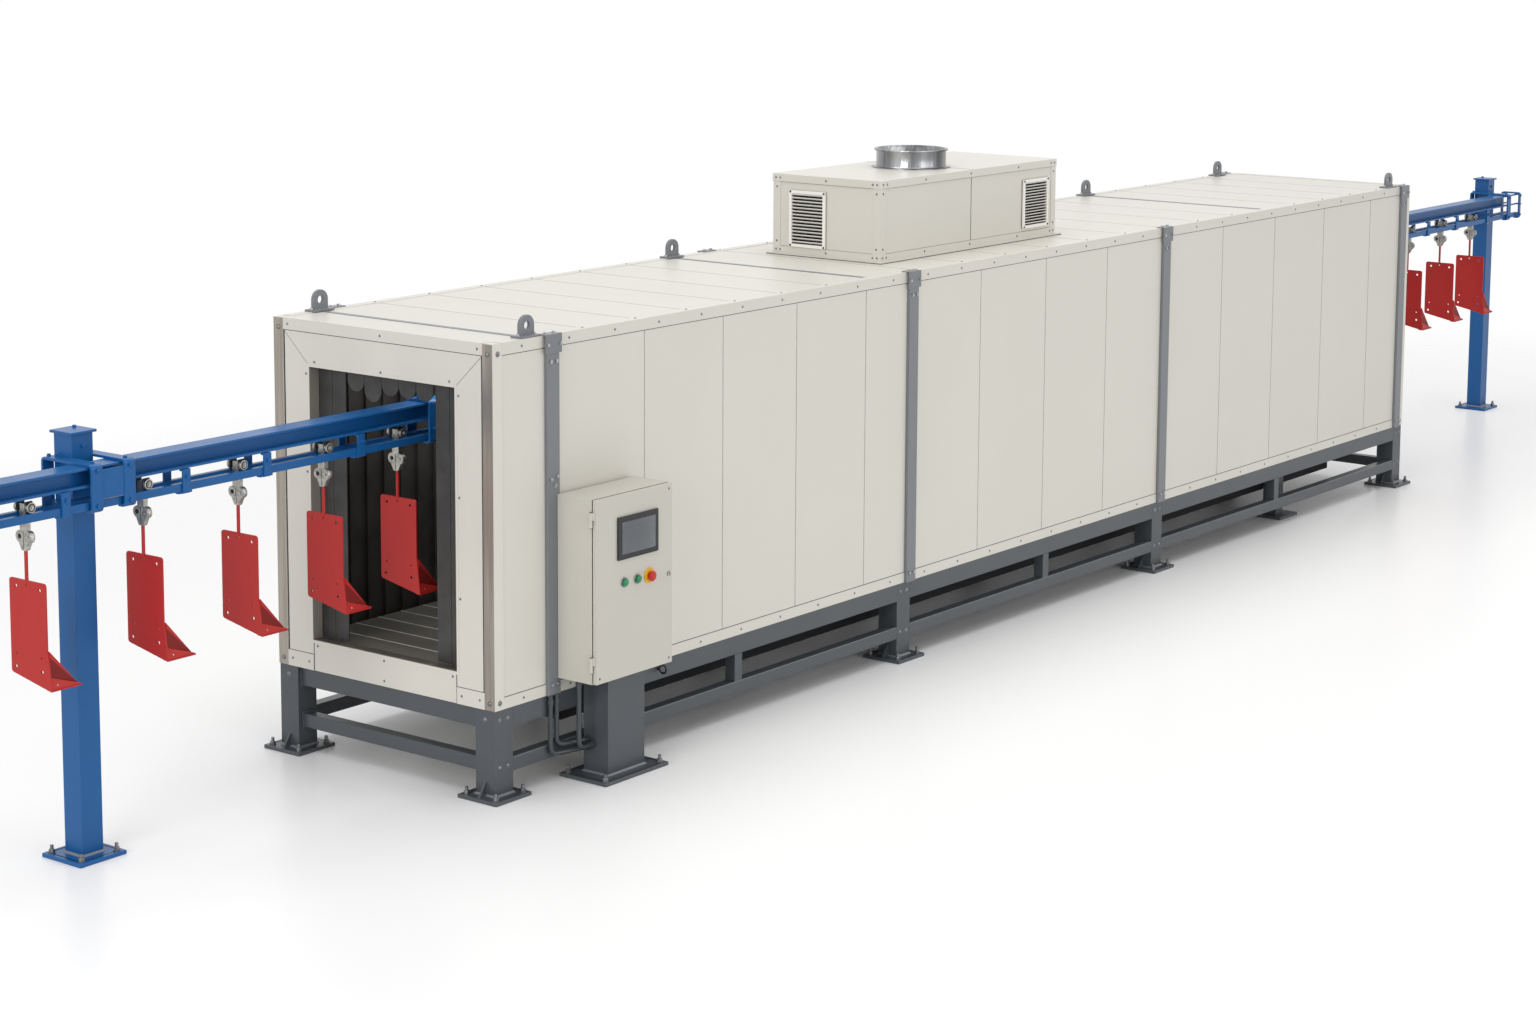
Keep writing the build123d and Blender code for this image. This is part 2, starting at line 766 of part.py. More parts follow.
fan_lid_z = fan_top_z + fan_lid_height
with BuildPart() as exhaust_spigot:
    with BuildSketch(Plane(origin=(spigot_x, 0, fan_lid_z), x_dir=(1, 0, 0), z_dir=(0, -1, 0))):
        with BuildLine():
            Polyline(
                (spigot_radius - spigot_sheet, 0),
                (spigot_rim_radius, 0),
                (spigot_rim_radius, spigot_rim_height / 2),
                (spigot_radius, spigot_rim_height / 2),
                (spigot_radius, spigot_height - spigot_rim_height),
                (spigot_rim_radius, spigot_height - spigot_rim_height),
                (spigot_rim_radius, spigot_height),
                (spigot_radius - spigot_sheet, spigot_height),
                close=True,
            )
        make_face()
    revolve(axis=Axis((spigot_x, 0, 0), (0, 0, 1)))
save(exhaust_spigot.part, "exhaust_spigot")


def louvre(face, width, height):
    """A framed louvre lying on a face plane, its blades sloped outward and down."""
    pitch = (height - 2 * louvre_frame) / louvre_blades
    blade_rise = pitch * louvre_blade_slope
    inner = width - 2 * louvre_frame
    side_plane = Plane(origin=face.origin - face.x_dir * (inner / 2), x_dir=face.z_dir, z_dir=face.x_dir)
    with BuildPart() as panel:
        with BuildSketch(face):
            Rectangle(width, height)
            Rectangle(inner, height - 2 * louvre_frame, mode=Mode.SUBTRACT)
        extrude(amount=louvre_depth)
        with BuildSketch(side_plane):
            for i in range(louvre_blades):
                middle = (i + 0.5 - louvre_blades / 2) * pitch
                with BuildLine():
                    Polyline(
                        (0, middle + blade_rise / 2),
                        (louvre_depth, middle - blade_rise / 2),
                        (louvre_depth, middle - blade_rise / 2 - louvre_blade_sheet),
                        (0, middle + blade_rise / 2 - louvre_blade_sheet),
                        close=True,
                    )
                make_face()
        extrude(amount=inner)
    return panel.part


end_face = Plane(origin=(fan_x, end_louvre_y, louvre_z), x_dir=(0, -1, 0), z_dir=(-1, 0, 0))
side_face = Plane(origin=(side_louvre_x, -fan_width / 2, louvre_z), x_dir=(1, 0, 0), z_dir=(0, -1, 0))
save(louvre(end_face, end_louvre_width, end_louvre_height), "end_louvre")
save(louvre(side_face, side_louvre_width, side_louvre_height), "side_louvre")

# Overhead track: an I beam with two carrier rails hung below it
rail_y = slot_width / 2 + rail_width / 2
track_end_x = exit_post_x - post_size / 2 - seat_gap
along = Plane(origin=(line_start_x, 0, 0), x_dir=(0, 1, 0), z_dir=(1, 0, 0))
with BuildPart() as overhead_track:
    with BuildSketch(along):
        with Locations((0, track_top - track_flange / 2), (0, track_bottom + track_flange / 2)):
            Rectangle(track_width, track_flange)
        with Locations((0, track_top - track_depth / 2)):
            Rectangle(track_web, track_depth)
    extrude(amount=track_end_x - line_start_x)
save(overhead_track.part, "overhead_track")

with BuildPart() as carrier_rails:
    for side in (-1, 1):
        bar_x(line_start_x, line_end_x, side * rail_y, rail_bottom, rail_width, rail_height)
save(carrier_rails.part, "carrier_rails")

# Hangers: a pair of side plates at each station, turned in under the rails
hanger_inner = slot_width / 2 + rail_width
lip_y = slot_width / 2 + hanger_lip_gap
hanger_outer = hanger_inner + hanger_sheet
hanger_low_z = rail_bottom - hanger_sheet
with BuildPart() as rail_hangers:
    for x in hanger_stations:
        with BuildSketch(Plane(origin=(x, 0, 0), x_dir=(0, 1, 0), z_dir=(1, 0, 0))):
            for side in (-1, 1):
                with BuildLine():
                    Polyline(
                        (side * hanger_inner, track_bottom),
                        (side * hanger_outer, track_bottom),
                        (side * hanger_outer, hanger_low_z + hanger_corner),
                        (side * (hanger_outer - hanger_corner), hanger_low_z),
                        (side * lip_y, hanger_low_z),
                        (side * lip_y, rail_bottom),
                        (side * hanger_inner, rail_bottom),
                        close=True,
                    )
                make_face()
                with Locations((side * (hanger_inner - rail_width / 4), track_bottom - hanger_sheet / 2)):
                    Rectangle(rail_width / 2, hanger_sheet)
        extrude(amount=hanger_length / 2, both=True)
        for side in (-1, 1):
            with Locations((x, side * (lip_y + hanger_inner) / 2, hanger_low_z)):
                Box(hanger_foot_length, hanger_inner - lip_y, hanger_sheet,
                    align=(Align.CENTER, Align.CENTER, Align.MIN))
save(rail_hangers.part, "rail_hangers")

# Line posts with cap and foot plate, set behind the path of the carriers
post_height = track_top + post_rise
post_front_y = plate_far_y + carrier_clearance
post_y = post_front_y + post_size / 2
post_places = [(entry_post_x, post_y), (exit_post_x, post_y)]
with BuildPart() as line_posts:
    with BuildSketch():
        with Locations(*post_places):
            Rectangle(post_plate_size, post_plate_size)
        with Locations(*post_places):
            with GridLocations(post_anchor_spacing, post_anchor_spacing, 2, 2):
                Circle(anchor_hole_radius, mode=Mode.SUBTRACT)
    extrude(amount=post_plate_thickness)
    column([(x, y, post_plate_thickness) for x, y in post_places], post_size, post_wall,
           post_height - post_plate_thickness)
    with Locations(*[(x, y, post_height) for x, y in post_places]):
        Box(post_cap_size, post_cap_size, post_cap_thickness, align=(Align.CENTER, Align.CENTER, Align.MIN))
save(line_posts.part, "line_posts")


def yoke_ring(x, near_y, far_y, depth):
    """A flat-bar ring with rounded corners round the line, open below for the trolleys."""
    ring_width = far_y - near_y
    ring_height = track_top - rail_bottom
    with BuildPart() as ring:
        with BuildSketch(Plane(origin=(x, (near_y + far_y) / 2, (track_top + rail_bottom) / 2),
                               x_dir=(0, 1, 0), z_dir=(1, 0, 0))):
            RectangleRounded(ring_width + 2 * yoke_sheet, ring_height + 2 * yoke_sheet, yoke_corner)
            RectangleRounded(ring_width, ring_height, yoke_corner - yoke_sheet, mode=Mode.SUBTRACT)
            with Locations((-(near_y + far_y) / 2, -(ring_height + yoke_sheet) / 2)):
                Rectangle(2 * lip_y, 2 * yoke_sheet, mode=Mode.SUBTRACT)
        extrude(amount=depth / 2, both=True)
    return ring.part


# Yokes round the track and the post: a pair with a link plate at the entry, one at the exit
yoke_front_y = -hanger_outer
yoke_back_y = post_front_y + post_size + seat_gap
yoke_step = post_size / 2 + yoke_bar / 2 + seat_gap
link_plate_z = rail_bottom + link_plate_low
with BuildPart() as post_yokes:
    for x in (entry_post_x - yoke_step, entry_post_x + yoke_step, exit_post_x - yoke_step):
        add(yoke_ring(x, yoke_front_y, yoke_back_y, yoke_bar))
    with Locations((entry_post_x, yoke_front_y, link_plate_z)):
        Box(2 * yoke_step - yoke_bar, link_plate_sheet, track_top - link_plate_high - link_plate_z,
            align=(Align.CENTER, Align.MAX, Align.MIN))
save(post_yokes.part, "post_yokes")

# End frames: rings at both ends of the line, the exit one carried on bars past the beam's end
bar_y = track_width / 2 - end_bar / 2
with BuildPart() as end_frames:
    for x in (line_start_x + end_frame_depth / 2, line_end_x - end_frame_depth / 2):
        add(yoke_ring(x, yoke_front_y, hanger_outer, end_frame_depth))
    for side in (-1, 1):
        bar_x(track_end_x, line_end_x, side * bar_y, track_top - track_flange, end_bar, track_flange)
        bar_x(track_end_x, line_end_x, side * bar_y, track_bottom, end_bar, track_flange)
        with Locations((line_end_x - end_frame_depth / 2, side * hanger_outer, track_bottom)):
            Box(end_frame_depth, 2 * (hanger_outer - bar_y), track_flange,
                align=(Align.CENTER, Align.CENTER, Align.MIN))
save(end_frames.part, "end_frames")

# Tunnel yokes: rings round the track and rails, hung from the roof panels
hang_top_z = roof_z - roof_thickness
with BuildPart() as tunnel_yokes:
    for x in tunnel_yoke_stations:
        add(yoke_ring(x, yoke_front_y, hanger_outer, yoke_bar))
        with Locations((x, 0, track_top + yoke_sheet)):
            Box(yoke_bar, yoke_sheet, hang_top_z - track_top - yoke_sheet,
                align=(Align.CENTER, Align.CENTER, Align.MIN))
save(tunnel_yokes.part, "tunnel_yokes")

# Trolleys: a wheel pair above the rails, a neck through the slot and a two-lobed casting
wheel_z = rail_top + wheel_radius
housing_top_z = wheel_z + housing_rise
with BuildPart() as trolleys:
    for x in carrier_stations:
        across = Plane(origin=(x, 0, 0), x_dir=(0, 1, 0), z_dir=(1, 0, 0))
        with BuildSketch(across):
            with Locations((0, (shoulder_z + housing_top_z) / 2)):
                Rectangle(neck_width, housing_top_z - shoulder_z)
        extrude(amount=neck_length / 2, both=True)
        with BuildSketch(across):
            with BuildLine():
                Polyline(
                    (-stem_half_width, stem_bottom),
                    (stem_half_width, stem_bottom),
                    (lobe_y + lobe_radius / 2, lobe_z - lobe_radius / 2),
                    (lobe_y, shoulder_z),
                    (-lobe_y, shoulder_z),
                    (-lobe_y - lobe_radius / 2, lobe_z - lobe_radius / 2),
                    close=True,
                )
            make_face()
            with Locations((-lobe_y, lobe_z), (lobe_y, lobe_z)):
                Circle(lobe_radius)
            boss_z = stem_bottom + boss_rise
            with Locations((-stem_half_width, boss_z), (stem_half_width, boss_z)):
                Circle(boss_radius)
        extrude(amount=lobe_length / 2, both=True)
        with BuildSketch(Plane(origin=(x - lobe_length / 2, 0, 0), x_dir=(0, 1, 0), z_dir=(1, 0, 0))):
            with Locations((-lobe_y, lobe_z), (lobe_y, lobe_z)):
                Circle(lobe_hole_radius)
        extrude(amount=lobe_hole_depth, mode=Mode.SUBTRACT)
        for side in (-1, 1):
            hub_y = side * (wheel_y + wheel_width / 2 + seat_gap + hub_proud / 2)
            with Locations(Location((x, hub_y, wheel_z), (90, 0, 0))):
                Cylinder(hub_radius, hub_proud)
        with Locations(Location((x, 0, wheel_z), (90, 0, 0))):
            Cylinder(axle_radius, 2 * wheel_y + wheel_width + 2 * seat_gap + hub_proud)
save(trolleys.part, "trolleys")

with BuildPart() as trolley_wheels:
    for x in carrier_stations:
        for side in (-1, 1):
            with BuildSketch(Plane(origin=(x, side * wheel_y, wheel_z), x_dir=(1, 0, 0), z_dir=(0, -1, 0))):
                Circle(wheel_radius)
                Circle(axle_radius + axle_clearance, mode=Mode.SUBTRACT)
            extrude(amount=wheel_width / 2, both=True)
save(trolley_wheels.part, "trolley_wheels")

# Work carriers: a rod and a bent bracket plate with a gusseted toe
with BuildPart() as work_carriers:
    for x in carrier_stations:
        back_x = x + plate_sheet / 2
        with Locations((x, 0, plate_top - rod_embed)):
            Cylinder(rod_radius, stem_bottom - plate_top + rod_embed,
                     align=(Align.CENTER, Align.CENTER, Align.MIN))
        with BuildSketch(Plane(origin=(x, 0, 0), x_dir=(0, 1, 0), z_dir=(1, 0, 0))):
            with BuildLine():
                Polyline(
                    (plate_far_y, plate_top),
                    (plate_near_y, plate_top),
                    (plate_near_y, plate_bend_z),
                    (plate_toe_y, plate_toe_z),
                    (plate_far_y, plate_far_bottom),
                    close=True,
                )
            make_face()
            fillet(vertices().group_by(Axis.X)[-1] + vertices().group_by(Axis.Y)[-1].sort_by(Axis.X)[0:1],
                   plate_corner)
            with Locations(*plate_holes):
                Circle(plate_hole_radius, mode=Mode.SUBTRACT)
            with Locations(*small_holes):
                Circle(small_hole_radius, mode=Mode.SUBTRACT)
        extrude(amount=plate_sheet / 2, both=True)
        with BuildSketch(Plane.XY.offset(plate_toe_z)):
            with BuildLine():
                Polyline(
                    (back_x, plate_toe_y),
                    (back_x + toe_length, plate_toe_y),
                    (back_x + toe_length, plate_near_y + toe_edge),
                    (back_x, plate_near_y + toe_root),
                    close=True,
                )
            make_face()
            with Locations(*[(back_x + toe_x, (plate_toe_y + plate_near_y - plate_sheet) / 2)
                             for toe_x in toe_hole_xs]):
                Circle(toe_hole_radius, mode=Mode.SUBTRACT)
        extrude(amount=plate_sheet)
        with BuildSketch(Plane(origin=(back_x, plate_near_y, plate_toe_z + plate_sheet),
                               x_dir=(1, 0, 0), z_dir=(0, -1, 0))):
            with BuildLine():
                Polyline(
                    (0, 0),
                    (toe_length - plate_sheet, 0),
                    (0, plate_bend_z - plate_toe_z - 2 * plate_sheet),
                    close=True,
                )
            make_face()
        extrude(amount=plate_sheet)
save(work_carriers.part, "work_carriers")

# Pedestal and control cabinet
cabinet_back_y = -half_width - trim_sheet - cabinet_wall_gap
cabinet_front_y = cabinet_back_y - cabinet_depth
door_back_y = cabinet_front_y - door_gap
door_front_y = door_back_y - door_thickness
pedestal_y = (cabinet_back_y + cabinet_front_y) / 2 + pedestal_setback
with BuildPart() as cabinet_pedestal:
    with BuildSketch():
        with Locations((pedestal_x, pedestal_y)):
            Rectangle(pedestal_plate_width, pedestal_plate_depth)
            with GridLocations(pedestal_anchor_x, pedestal_anchor_y, 2, 2):
                Circle(anchor_hole_radius, mode=Mode.SUBTRACT)
    extrude(amount=pedestal_plate_thickness)
    with Locations((pedestal_x, pedestal_y, pedestal_plate_thickness)):
        Box(pedestal_width, pedestal_depth, cabinet_z - pedestal_plate_thickness,
            align=(Align.CENTER, Align.CENTER, Align.MIN))
save(cabinet_pedestal.part, "cabinet_pedestal")

# Conduits: two out of the foot of the first strap and one out of the cabinet, into the pedestal
pedestal_side_x = pedestal_x - pedestal_width / 2
conduit_paths = []
for i in range(2):
    start_x = conduit_first_x + i * conduit_pitch
    low_z = conduit_low_z + i * conduit_rise
    conduit_paths.append([(start_x, conduit_y, base_height), (start_x, conduit_y, low_z),
                          (pedestal_side_x - gland_length, conduit_entry_y, low_z)])
conduit_paths.append([(drop_x, drop_y, cabinet_z), (drop_x, drop_y, drop_low_z),
                      (pedestal_side_x - gland_length, drop_y, drop_low_z)])
with BuildPart() as cable_conduits:
    for points in conduit_paths:
        with BuildLine() as route:
            FilletPolyline(*points, radius=conduit_bend)
        with BuildSketch(Plane(origin=points[0], x_dir=(1, 0, 0), z_dir=(0, 0, -1))):
            Circle(conduit_radius)
        sweep(path=route.wires()[0])
        with Locations((points[0][0], points[0][1], points[0][2] - collar_drop)):
            Cylinder(conduit_radius + collar_step, collar_length,
                     align=(Align.CENTER, Align.CENTER, Align.MAX))
        with Locations(Location((pedestal_side_x, points[2][1], points[2][2]), (0, -90, 0))):
            Cylinder(conduit_radius + collar_step, gland_length + collar_length / 2,
                     align=(Align.CENTER, Align.CENTER, Align.MIN))
save(cable_conduits.part, "cable_conduits")

cabinet_centre_x = cabinet_x + cabinet_width / 2
with BuildPart() as cabinet_body:
    with Locations((cabinet_centre_x, cabinet_back_y, cabinet_z)):
        Box(cabinet_width, cabinet_depth, cabinet_height, align=(Align.CENTER, Align.MAX, Align.MIN))
    offset(amount=-cabinet_sheet, openings=cabinet_body.faces().sort_by(Axis.Y)[0])
save(cabinet_body.part, "cabinet_body")

# Stand-off rails between the cabinet and the tunnel wall
cabinet_mid_z = cabinet_z + cabinet_height / 2
with BuildPart() as cabinet_rails:
    for side in (-1, 1):
        with Locations((strap_stations[0] + strap_width / 2 + cabinet_rail_inset, -half_width,
                        cabinet_mid_z + side * (cabinet_height / 2 - cabinet_rail_drop))):
            Box(cabinet_x + cabinet_width - strap_stations[0] - strap_width / 2 - 2 * cabinet_rail_inset,
                -half_width - cabinet_back_y, cabinet_rail_height, align=(Align.MIN, Align.MAX, Align.CENTER))
save(cabinet_rails.part, "cabinet_rails")

# Mounting plate on stand-offs inside the cabinet
cabinet_inside_y = cabinet_back_y - cabinet_sheet
with BuildPart() as mounting_plate:
    with Locations((cabinet_centre_x, cabinet_inside_y - back_plate_offset, cabinet_mid_z)):
        Box(back_plate_width, back_plate_sheet, back_plate_height,
            align=(Align.CENTER, Align.MAX, Align.CENTER))
    with Locations((cabinet_centre_x, cabinet_inside_y, cabinet_mid_z)):
        with Locations(Location((0, 0, 0), (90, 0, 0))):
            with GridLocations(back_plate_width - 2 * standoff_inset,
                               back_plate_height - 2 * standoff_inset, 2, 2):
                Cylinder(standoff_radius, back_plate_offset, align=(Align.CENTER, Align.CENTER, Align.MIN))
save(mounting_plate.part, "mounting_plate")

door_width = cabinet_width - 2 * door_margin
door_height = cabinet_height - 2 * door_margin
with BuildPart() as cabinet_door:
    with Locations((cabinet_centre_x, door_back_y, cabinet_mid_z)):
        Box(door_width, door_thickness, door_height, align=(Align.CENTER, Align.MAX, Align.CENTER))
    offset(amount=-cabinet_sheet, openings=cabinet_door.faces().sort_by(Axis.Y)[-1])
    front = Plane(origin=(0, door_front_y, 0), x_dir=(1, 0, 0), z_dir=(0, -1, 0))
    with BuildSketch(front):
        with Locations(*[(x, button_z) for x in green_button_xs]):
            Circle(bezel_inner)
        with Locations((stop_x, button_z)):
            Circle(stop_stem_radius + stop_clearance)
    extrude(amount=-cabinet_sheet, mode=Mode.SUBTRACT)
save(cabinet_door.part, "cabinet_door")

hinge_x = cabinet_x - hinge_radius - hinge_offset
hinge_y = cabinet_front_y - door_gap / 2
hinge_zs = [cabinet_z + hinge_drop, cabinet_z + cabinet_height - hinge_drop]
knuckle_length = hinge_length / 2 - hinge_end_gap
with BuildPart() as body_hinge_leaves:
    with Locations(*[(hinge_x, hinge_y, z) for z in hinge_zs]):
        Cylinder(hinge_radius, knuckle_length, align=(Align.CENTER, Align.CENTER, Align.MAX))
    with Locations(*[(hinge_x, hinge_y + hinge_offset, z) for z in hinge_zs]):
        Box(hinge_radius + hinge_offset, body_leaf_depth, knuckle_length,
            align=(Align.MIN, Align.MIN, Align.MAX))
save(body_hinge_leaves.part, "body_hinge_leaves")

with BuildPart() as door_hinge_leaves:
    with Locations(*[(hinge_x, hinge_y, z + seat_gap) for z in hinge_zs]):
        Cylinder(hinge_radius, knuckle_length, align=(Align.CENTER, Align.CENTER, Align.MIN))
    with Locations(*[(hinge_x, hinge_y - door_leaf_inset, z + seat_gap) for z in hinge_zs]):
        Box(hinge_radius + hinge_offset + door_margin, door_leaf_depth, knuckle_length,
            align=(Align.MIN, Align.MAX, Align.MIN))
save(door_hinge_leaves.part, "door_hinge_leaves")

lock_x = cabinet_x + cabinet_width - door_margin - lock_inset
with BuildPart() as door_lock:
    with Locations(Location((lock_x, door_front_y, cabinet_mid_z), (90, 0, 0))):
        Cylinder(lock_radius, lock_proud, align=(Align.CENTER, Align.CENTER, Align.MIN))
save(door_lock.part, "door_lock")

with BuildPart() as touch_screen:
    with Locations((screen_x, door_front_y, screen_z)):
        Box(screen_width, screen_bezel, screen_height, align=(Align.CENTER, Align.MAX, Align.CENTER))
save(touch_screen.part, "touch_screen")

with BuildPart() as button_bezels:
    with BuildSketch(front):
        with Locations(*[(x, button_z) for x in green_button_xs]):
            Circle(bezel_radius)
            Circle(bezel_inner, mode=Mode.SUBTRACT)
    extrude(amount=bezel_height)
save(button_bezels.part, "button_bezels")

for x, name in zip(green_button_xs, ("start_button", "reset_button")):
    with BuildPart() as button:
        with Locations(Location((x, door_front_y - bezel_height - button_proud, button_z), (90, 0, 0))):
            Cylinder(button_radius, bezel_height + button_proud + cabinet_sheet + button_tail,
                     align=(Align.CENTER, Align.CENTER, Align.MAX))
    save(button.part, name)

with BuildPart() as stop_collar:
    with BuildSketch(front):
        with Locations((stop_x, button_z)):
            Circle(collar_radius)
            Circle(stop_stem_radius + stop_clearance, mode=Mode.SUBTRACT)
    extrude(amount=collar_height)
save(stop_collar.part, "stop_collar")

stop_tail_y = door_front_y + cabinet_sheet + button_tail
stop_neck_y = door_front_y - collar_height - stop_lift
with BuildPart() as stop_button:
    with BuildSketch(Plane(origin=(stop_x, 0, button_z), x_dir=(1, 0, 0), z_dir=(0, 0, 1))):
        with BuildLine():
            Polyline(
                (0, stop_tail_y),
                (stop_stem_radius, stop_tail_y),
                (stop_stem_radius, stop_neck_y),
                (stop_radius, stop_neck_y - stop_flare),
                (stop_radius, stop_neck_y - stop_flare - stop_rim),
                (stop_radius - stop_chamfer, stop_neck_y - stop_flare - stop_rim - stop_crown),
                (0, stop_neck_y - stop_flare - stop_rim - stop_crown - stop_dome),
                close=True,
            )
        make_face()
    revolve(axis=Axis((stop_x, 0, button_z), (0, 1, 0)))
save(stop_button.part, "stop_button")
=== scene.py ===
import json
import math
import random

import bpy
import bmesh
from mathutils import Matrix, Vector


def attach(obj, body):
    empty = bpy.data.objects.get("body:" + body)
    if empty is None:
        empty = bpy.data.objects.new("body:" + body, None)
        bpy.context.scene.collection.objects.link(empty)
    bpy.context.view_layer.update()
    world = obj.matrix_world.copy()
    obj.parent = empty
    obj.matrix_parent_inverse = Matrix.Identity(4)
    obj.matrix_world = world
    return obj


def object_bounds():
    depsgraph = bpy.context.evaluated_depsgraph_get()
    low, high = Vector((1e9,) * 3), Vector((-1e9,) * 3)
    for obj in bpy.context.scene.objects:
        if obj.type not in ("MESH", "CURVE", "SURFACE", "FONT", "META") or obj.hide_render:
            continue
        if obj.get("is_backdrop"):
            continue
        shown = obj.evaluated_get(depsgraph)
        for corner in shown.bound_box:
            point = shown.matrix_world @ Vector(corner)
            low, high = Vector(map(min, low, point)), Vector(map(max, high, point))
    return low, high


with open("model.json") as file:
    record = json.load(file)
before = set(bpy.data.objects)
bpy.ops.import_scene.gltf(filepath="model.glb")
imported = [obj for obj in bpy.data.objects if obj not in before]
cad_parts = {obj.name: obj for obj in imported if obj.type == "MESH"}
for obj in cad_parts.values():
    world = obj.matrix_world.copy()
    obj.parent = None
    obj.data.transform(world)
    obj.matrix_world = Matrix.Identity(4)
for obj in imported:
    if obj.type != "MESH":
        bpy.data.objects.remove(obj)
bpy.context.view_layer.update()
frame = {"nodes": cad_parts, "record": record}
random.seed(11)
mm = 0.001
print("frame loaded")


def linear(code, share=1.0):
    parts = [int(code[i:i + 2], 16) / 255 for i in (1, 3, 5)]
    parts = [c / 12.92 if c <= 0.04045 else ((c + 0.055) / 1.055) ** 2.4 for c in parts]
    return [c * share for c in parts] + [1.0]


def addNode(tree, kind, settings=None, inputs=None):
    node = tree.nodes.new(kind)
    for name, value in (settings or {}).items():
        setattr(node, name, value)
    for key, value in (inputs or {}).items():
        if isinstance(value, bpy.types.NodeSocket):
            tree.links.new(value, node.inputs[key])
        else:
            node.inputs[key].default_value = value
    return node


def startMaterial(name):
    material = bpy.data.materials.new(name)
    material.use_nodes = True
    tree = material.node_tree
    tree.nodes.clear()
    shader = addNode(tree, "ShaderNodeBsdfPrincipled")
    addNode(tree, "ShaderNodeOutputMaterial", inputs={"Surface": shader.outputs["BSDF"]})
    where = addNode(tree, "ShaderNodeTexCoord").outputs["Object"]
    return material, tree, shader, where


# True where every test of a place against a limit holds
def withinLimits(tree, tests):
    result = None
    for source, operation, limit in tests:
        test = addNode(tree, "ShaderNodeMath", {"operation": operation}, {0: source, 1: limit}).outputs[0]
        if result is None:
            result = test
        else:
            result = addNode(tree, "ShaderNodeMath", {"operation": "MULTIPLY"}, {0: result, 1: test}).outputs[0]
    return result


# Roughness and fine relief that follow a grain, the same for every finish
def roughen(tree, shader, where, spots, roughness, reliefScale, relief):
    low, high = roughness
    rough = addNode(tree, "ShaderNodeMapRange", inputs={"Value": spots, "From Min": 0.3, "From Max": 0.7,
                                                        "To Min": low, "To Max": high})
    tree.links.new(rough.outputs["Result"], shader.inputs["Roughness"])
    if reliefScale:
        spots = addNode(tree, "ShaderNodeTexNoise",
                        inputs={"Vector": where, "Scale": reliefScale, "Detail": 2.0}).outputs["Fac"]
    strength, height = relief
    bump = addNode(tree, "ShaderNodeBump", inputs={"Height": spots, "Strength": strength, "Distance": height * mm})
    tree.links.new(bump.outputs["Normal"], shader.inputs["Normal"])


# Sprayed and powder-coated finishes on sheet steel: satin, a little cloudy, each sheet a touch different
coatings = {
    # Off-white polyester powder: a warm pale skin that hides the sheet under it
    "panelPowderCoat": {"colour": "#d5d2c9", "roughness": 0.36, "shade": 0.035, "gloss": 0.5},
    # The cabinet's own powder, a shade greyer than the panels
    "cabinetPowderCoat": {"colour": "#c4c1b7", "roughness": 0.36, "shade": 0.03, "gloss": 0.5},
    # Sprayed primer and top coat on the welded base: dark, dull, uneven
    "slateSatinPaint": {"colour": "#4d5257", "roughness": 0.34, "shade": 0.12, "gloss": 0.45},
    # Semi-gloss grey on straps and lugs: shows soft streaks of light along the edges
    "strapSemiGlossPaint": {"colour": "#777a7f", "roughness": 0.3, "shade": 0.06, "gloss": 0.5},
    # Brushed-on machine enamel of the line: deep blue with a low shine
    "blueLineEnamel": {"colour": "#175c9a", "roughness": 0.3, "shade": 0.12, "gloss": 0.3},
    # Freshly cured red of the hung workpieces, almost matt
    "redCarrierPaint": {"colour": "#b32723", "roughness": 0.4, "shade": 0.10, "gloss": 0.3},
    # The same red deep in the fold, where less light falls
    "redShadePaint": {"colour": "#7c201d", "roughness": 0.5, "shade": 0.1, "gloss": 0.2},
    # Dark coat of the rigid conduits
    "conduitCoat": {"colour": "#3c4145", "roughness": 0.34, "shade": 0.12, "gloss": 0.5},
    # Nearly black duct under the floor, seen only as a shadow between the rails
    "ductShadowPaint": {"colour": "#1d1f21", "roughness": 0.55, "shade": 0.1, "gloss": 0.12},
    # White blades of the louvres, with painted shade deep between them
    "louvreWhite": {"colour": "#f1efe9", "roughness": 0.4, "shade": 0.03, "gloss": 0.5},
}
# Clouds of about 0.6 m, and gloss patches of 110 mm. The relief of powder coat is under 1 mm wide: drawn as 2.4 mm
coatingScales = {"blotch": 1.7, "grain": 1 / (2.4 * mm), "fine": 1 / (110 * mm)}
coatingRelief = (0.04, 0.06)
sheetSpread = 0.5  # share of the shade that differs from sheet to sheet
louvreShade = {"endFace": 2.834, "sideFace": -0.3, "split": 3.5, "deep": 3.4 * mm, "shallow": 4.4 * mm,
               "colour": "#101010"}
# Painted shade: the reveals of the openings and the inside of the oven are drawn darker in the panels' paint
revealShade = {"y": 0.3885, "z": (0.4742, 1.5695), "colour": "#8d887f"}
ovenInside = {"x": (-0.002, 7.682), "y": 0.503, "z": (0.394, 1.707), "insideShade": "#4b4945"}


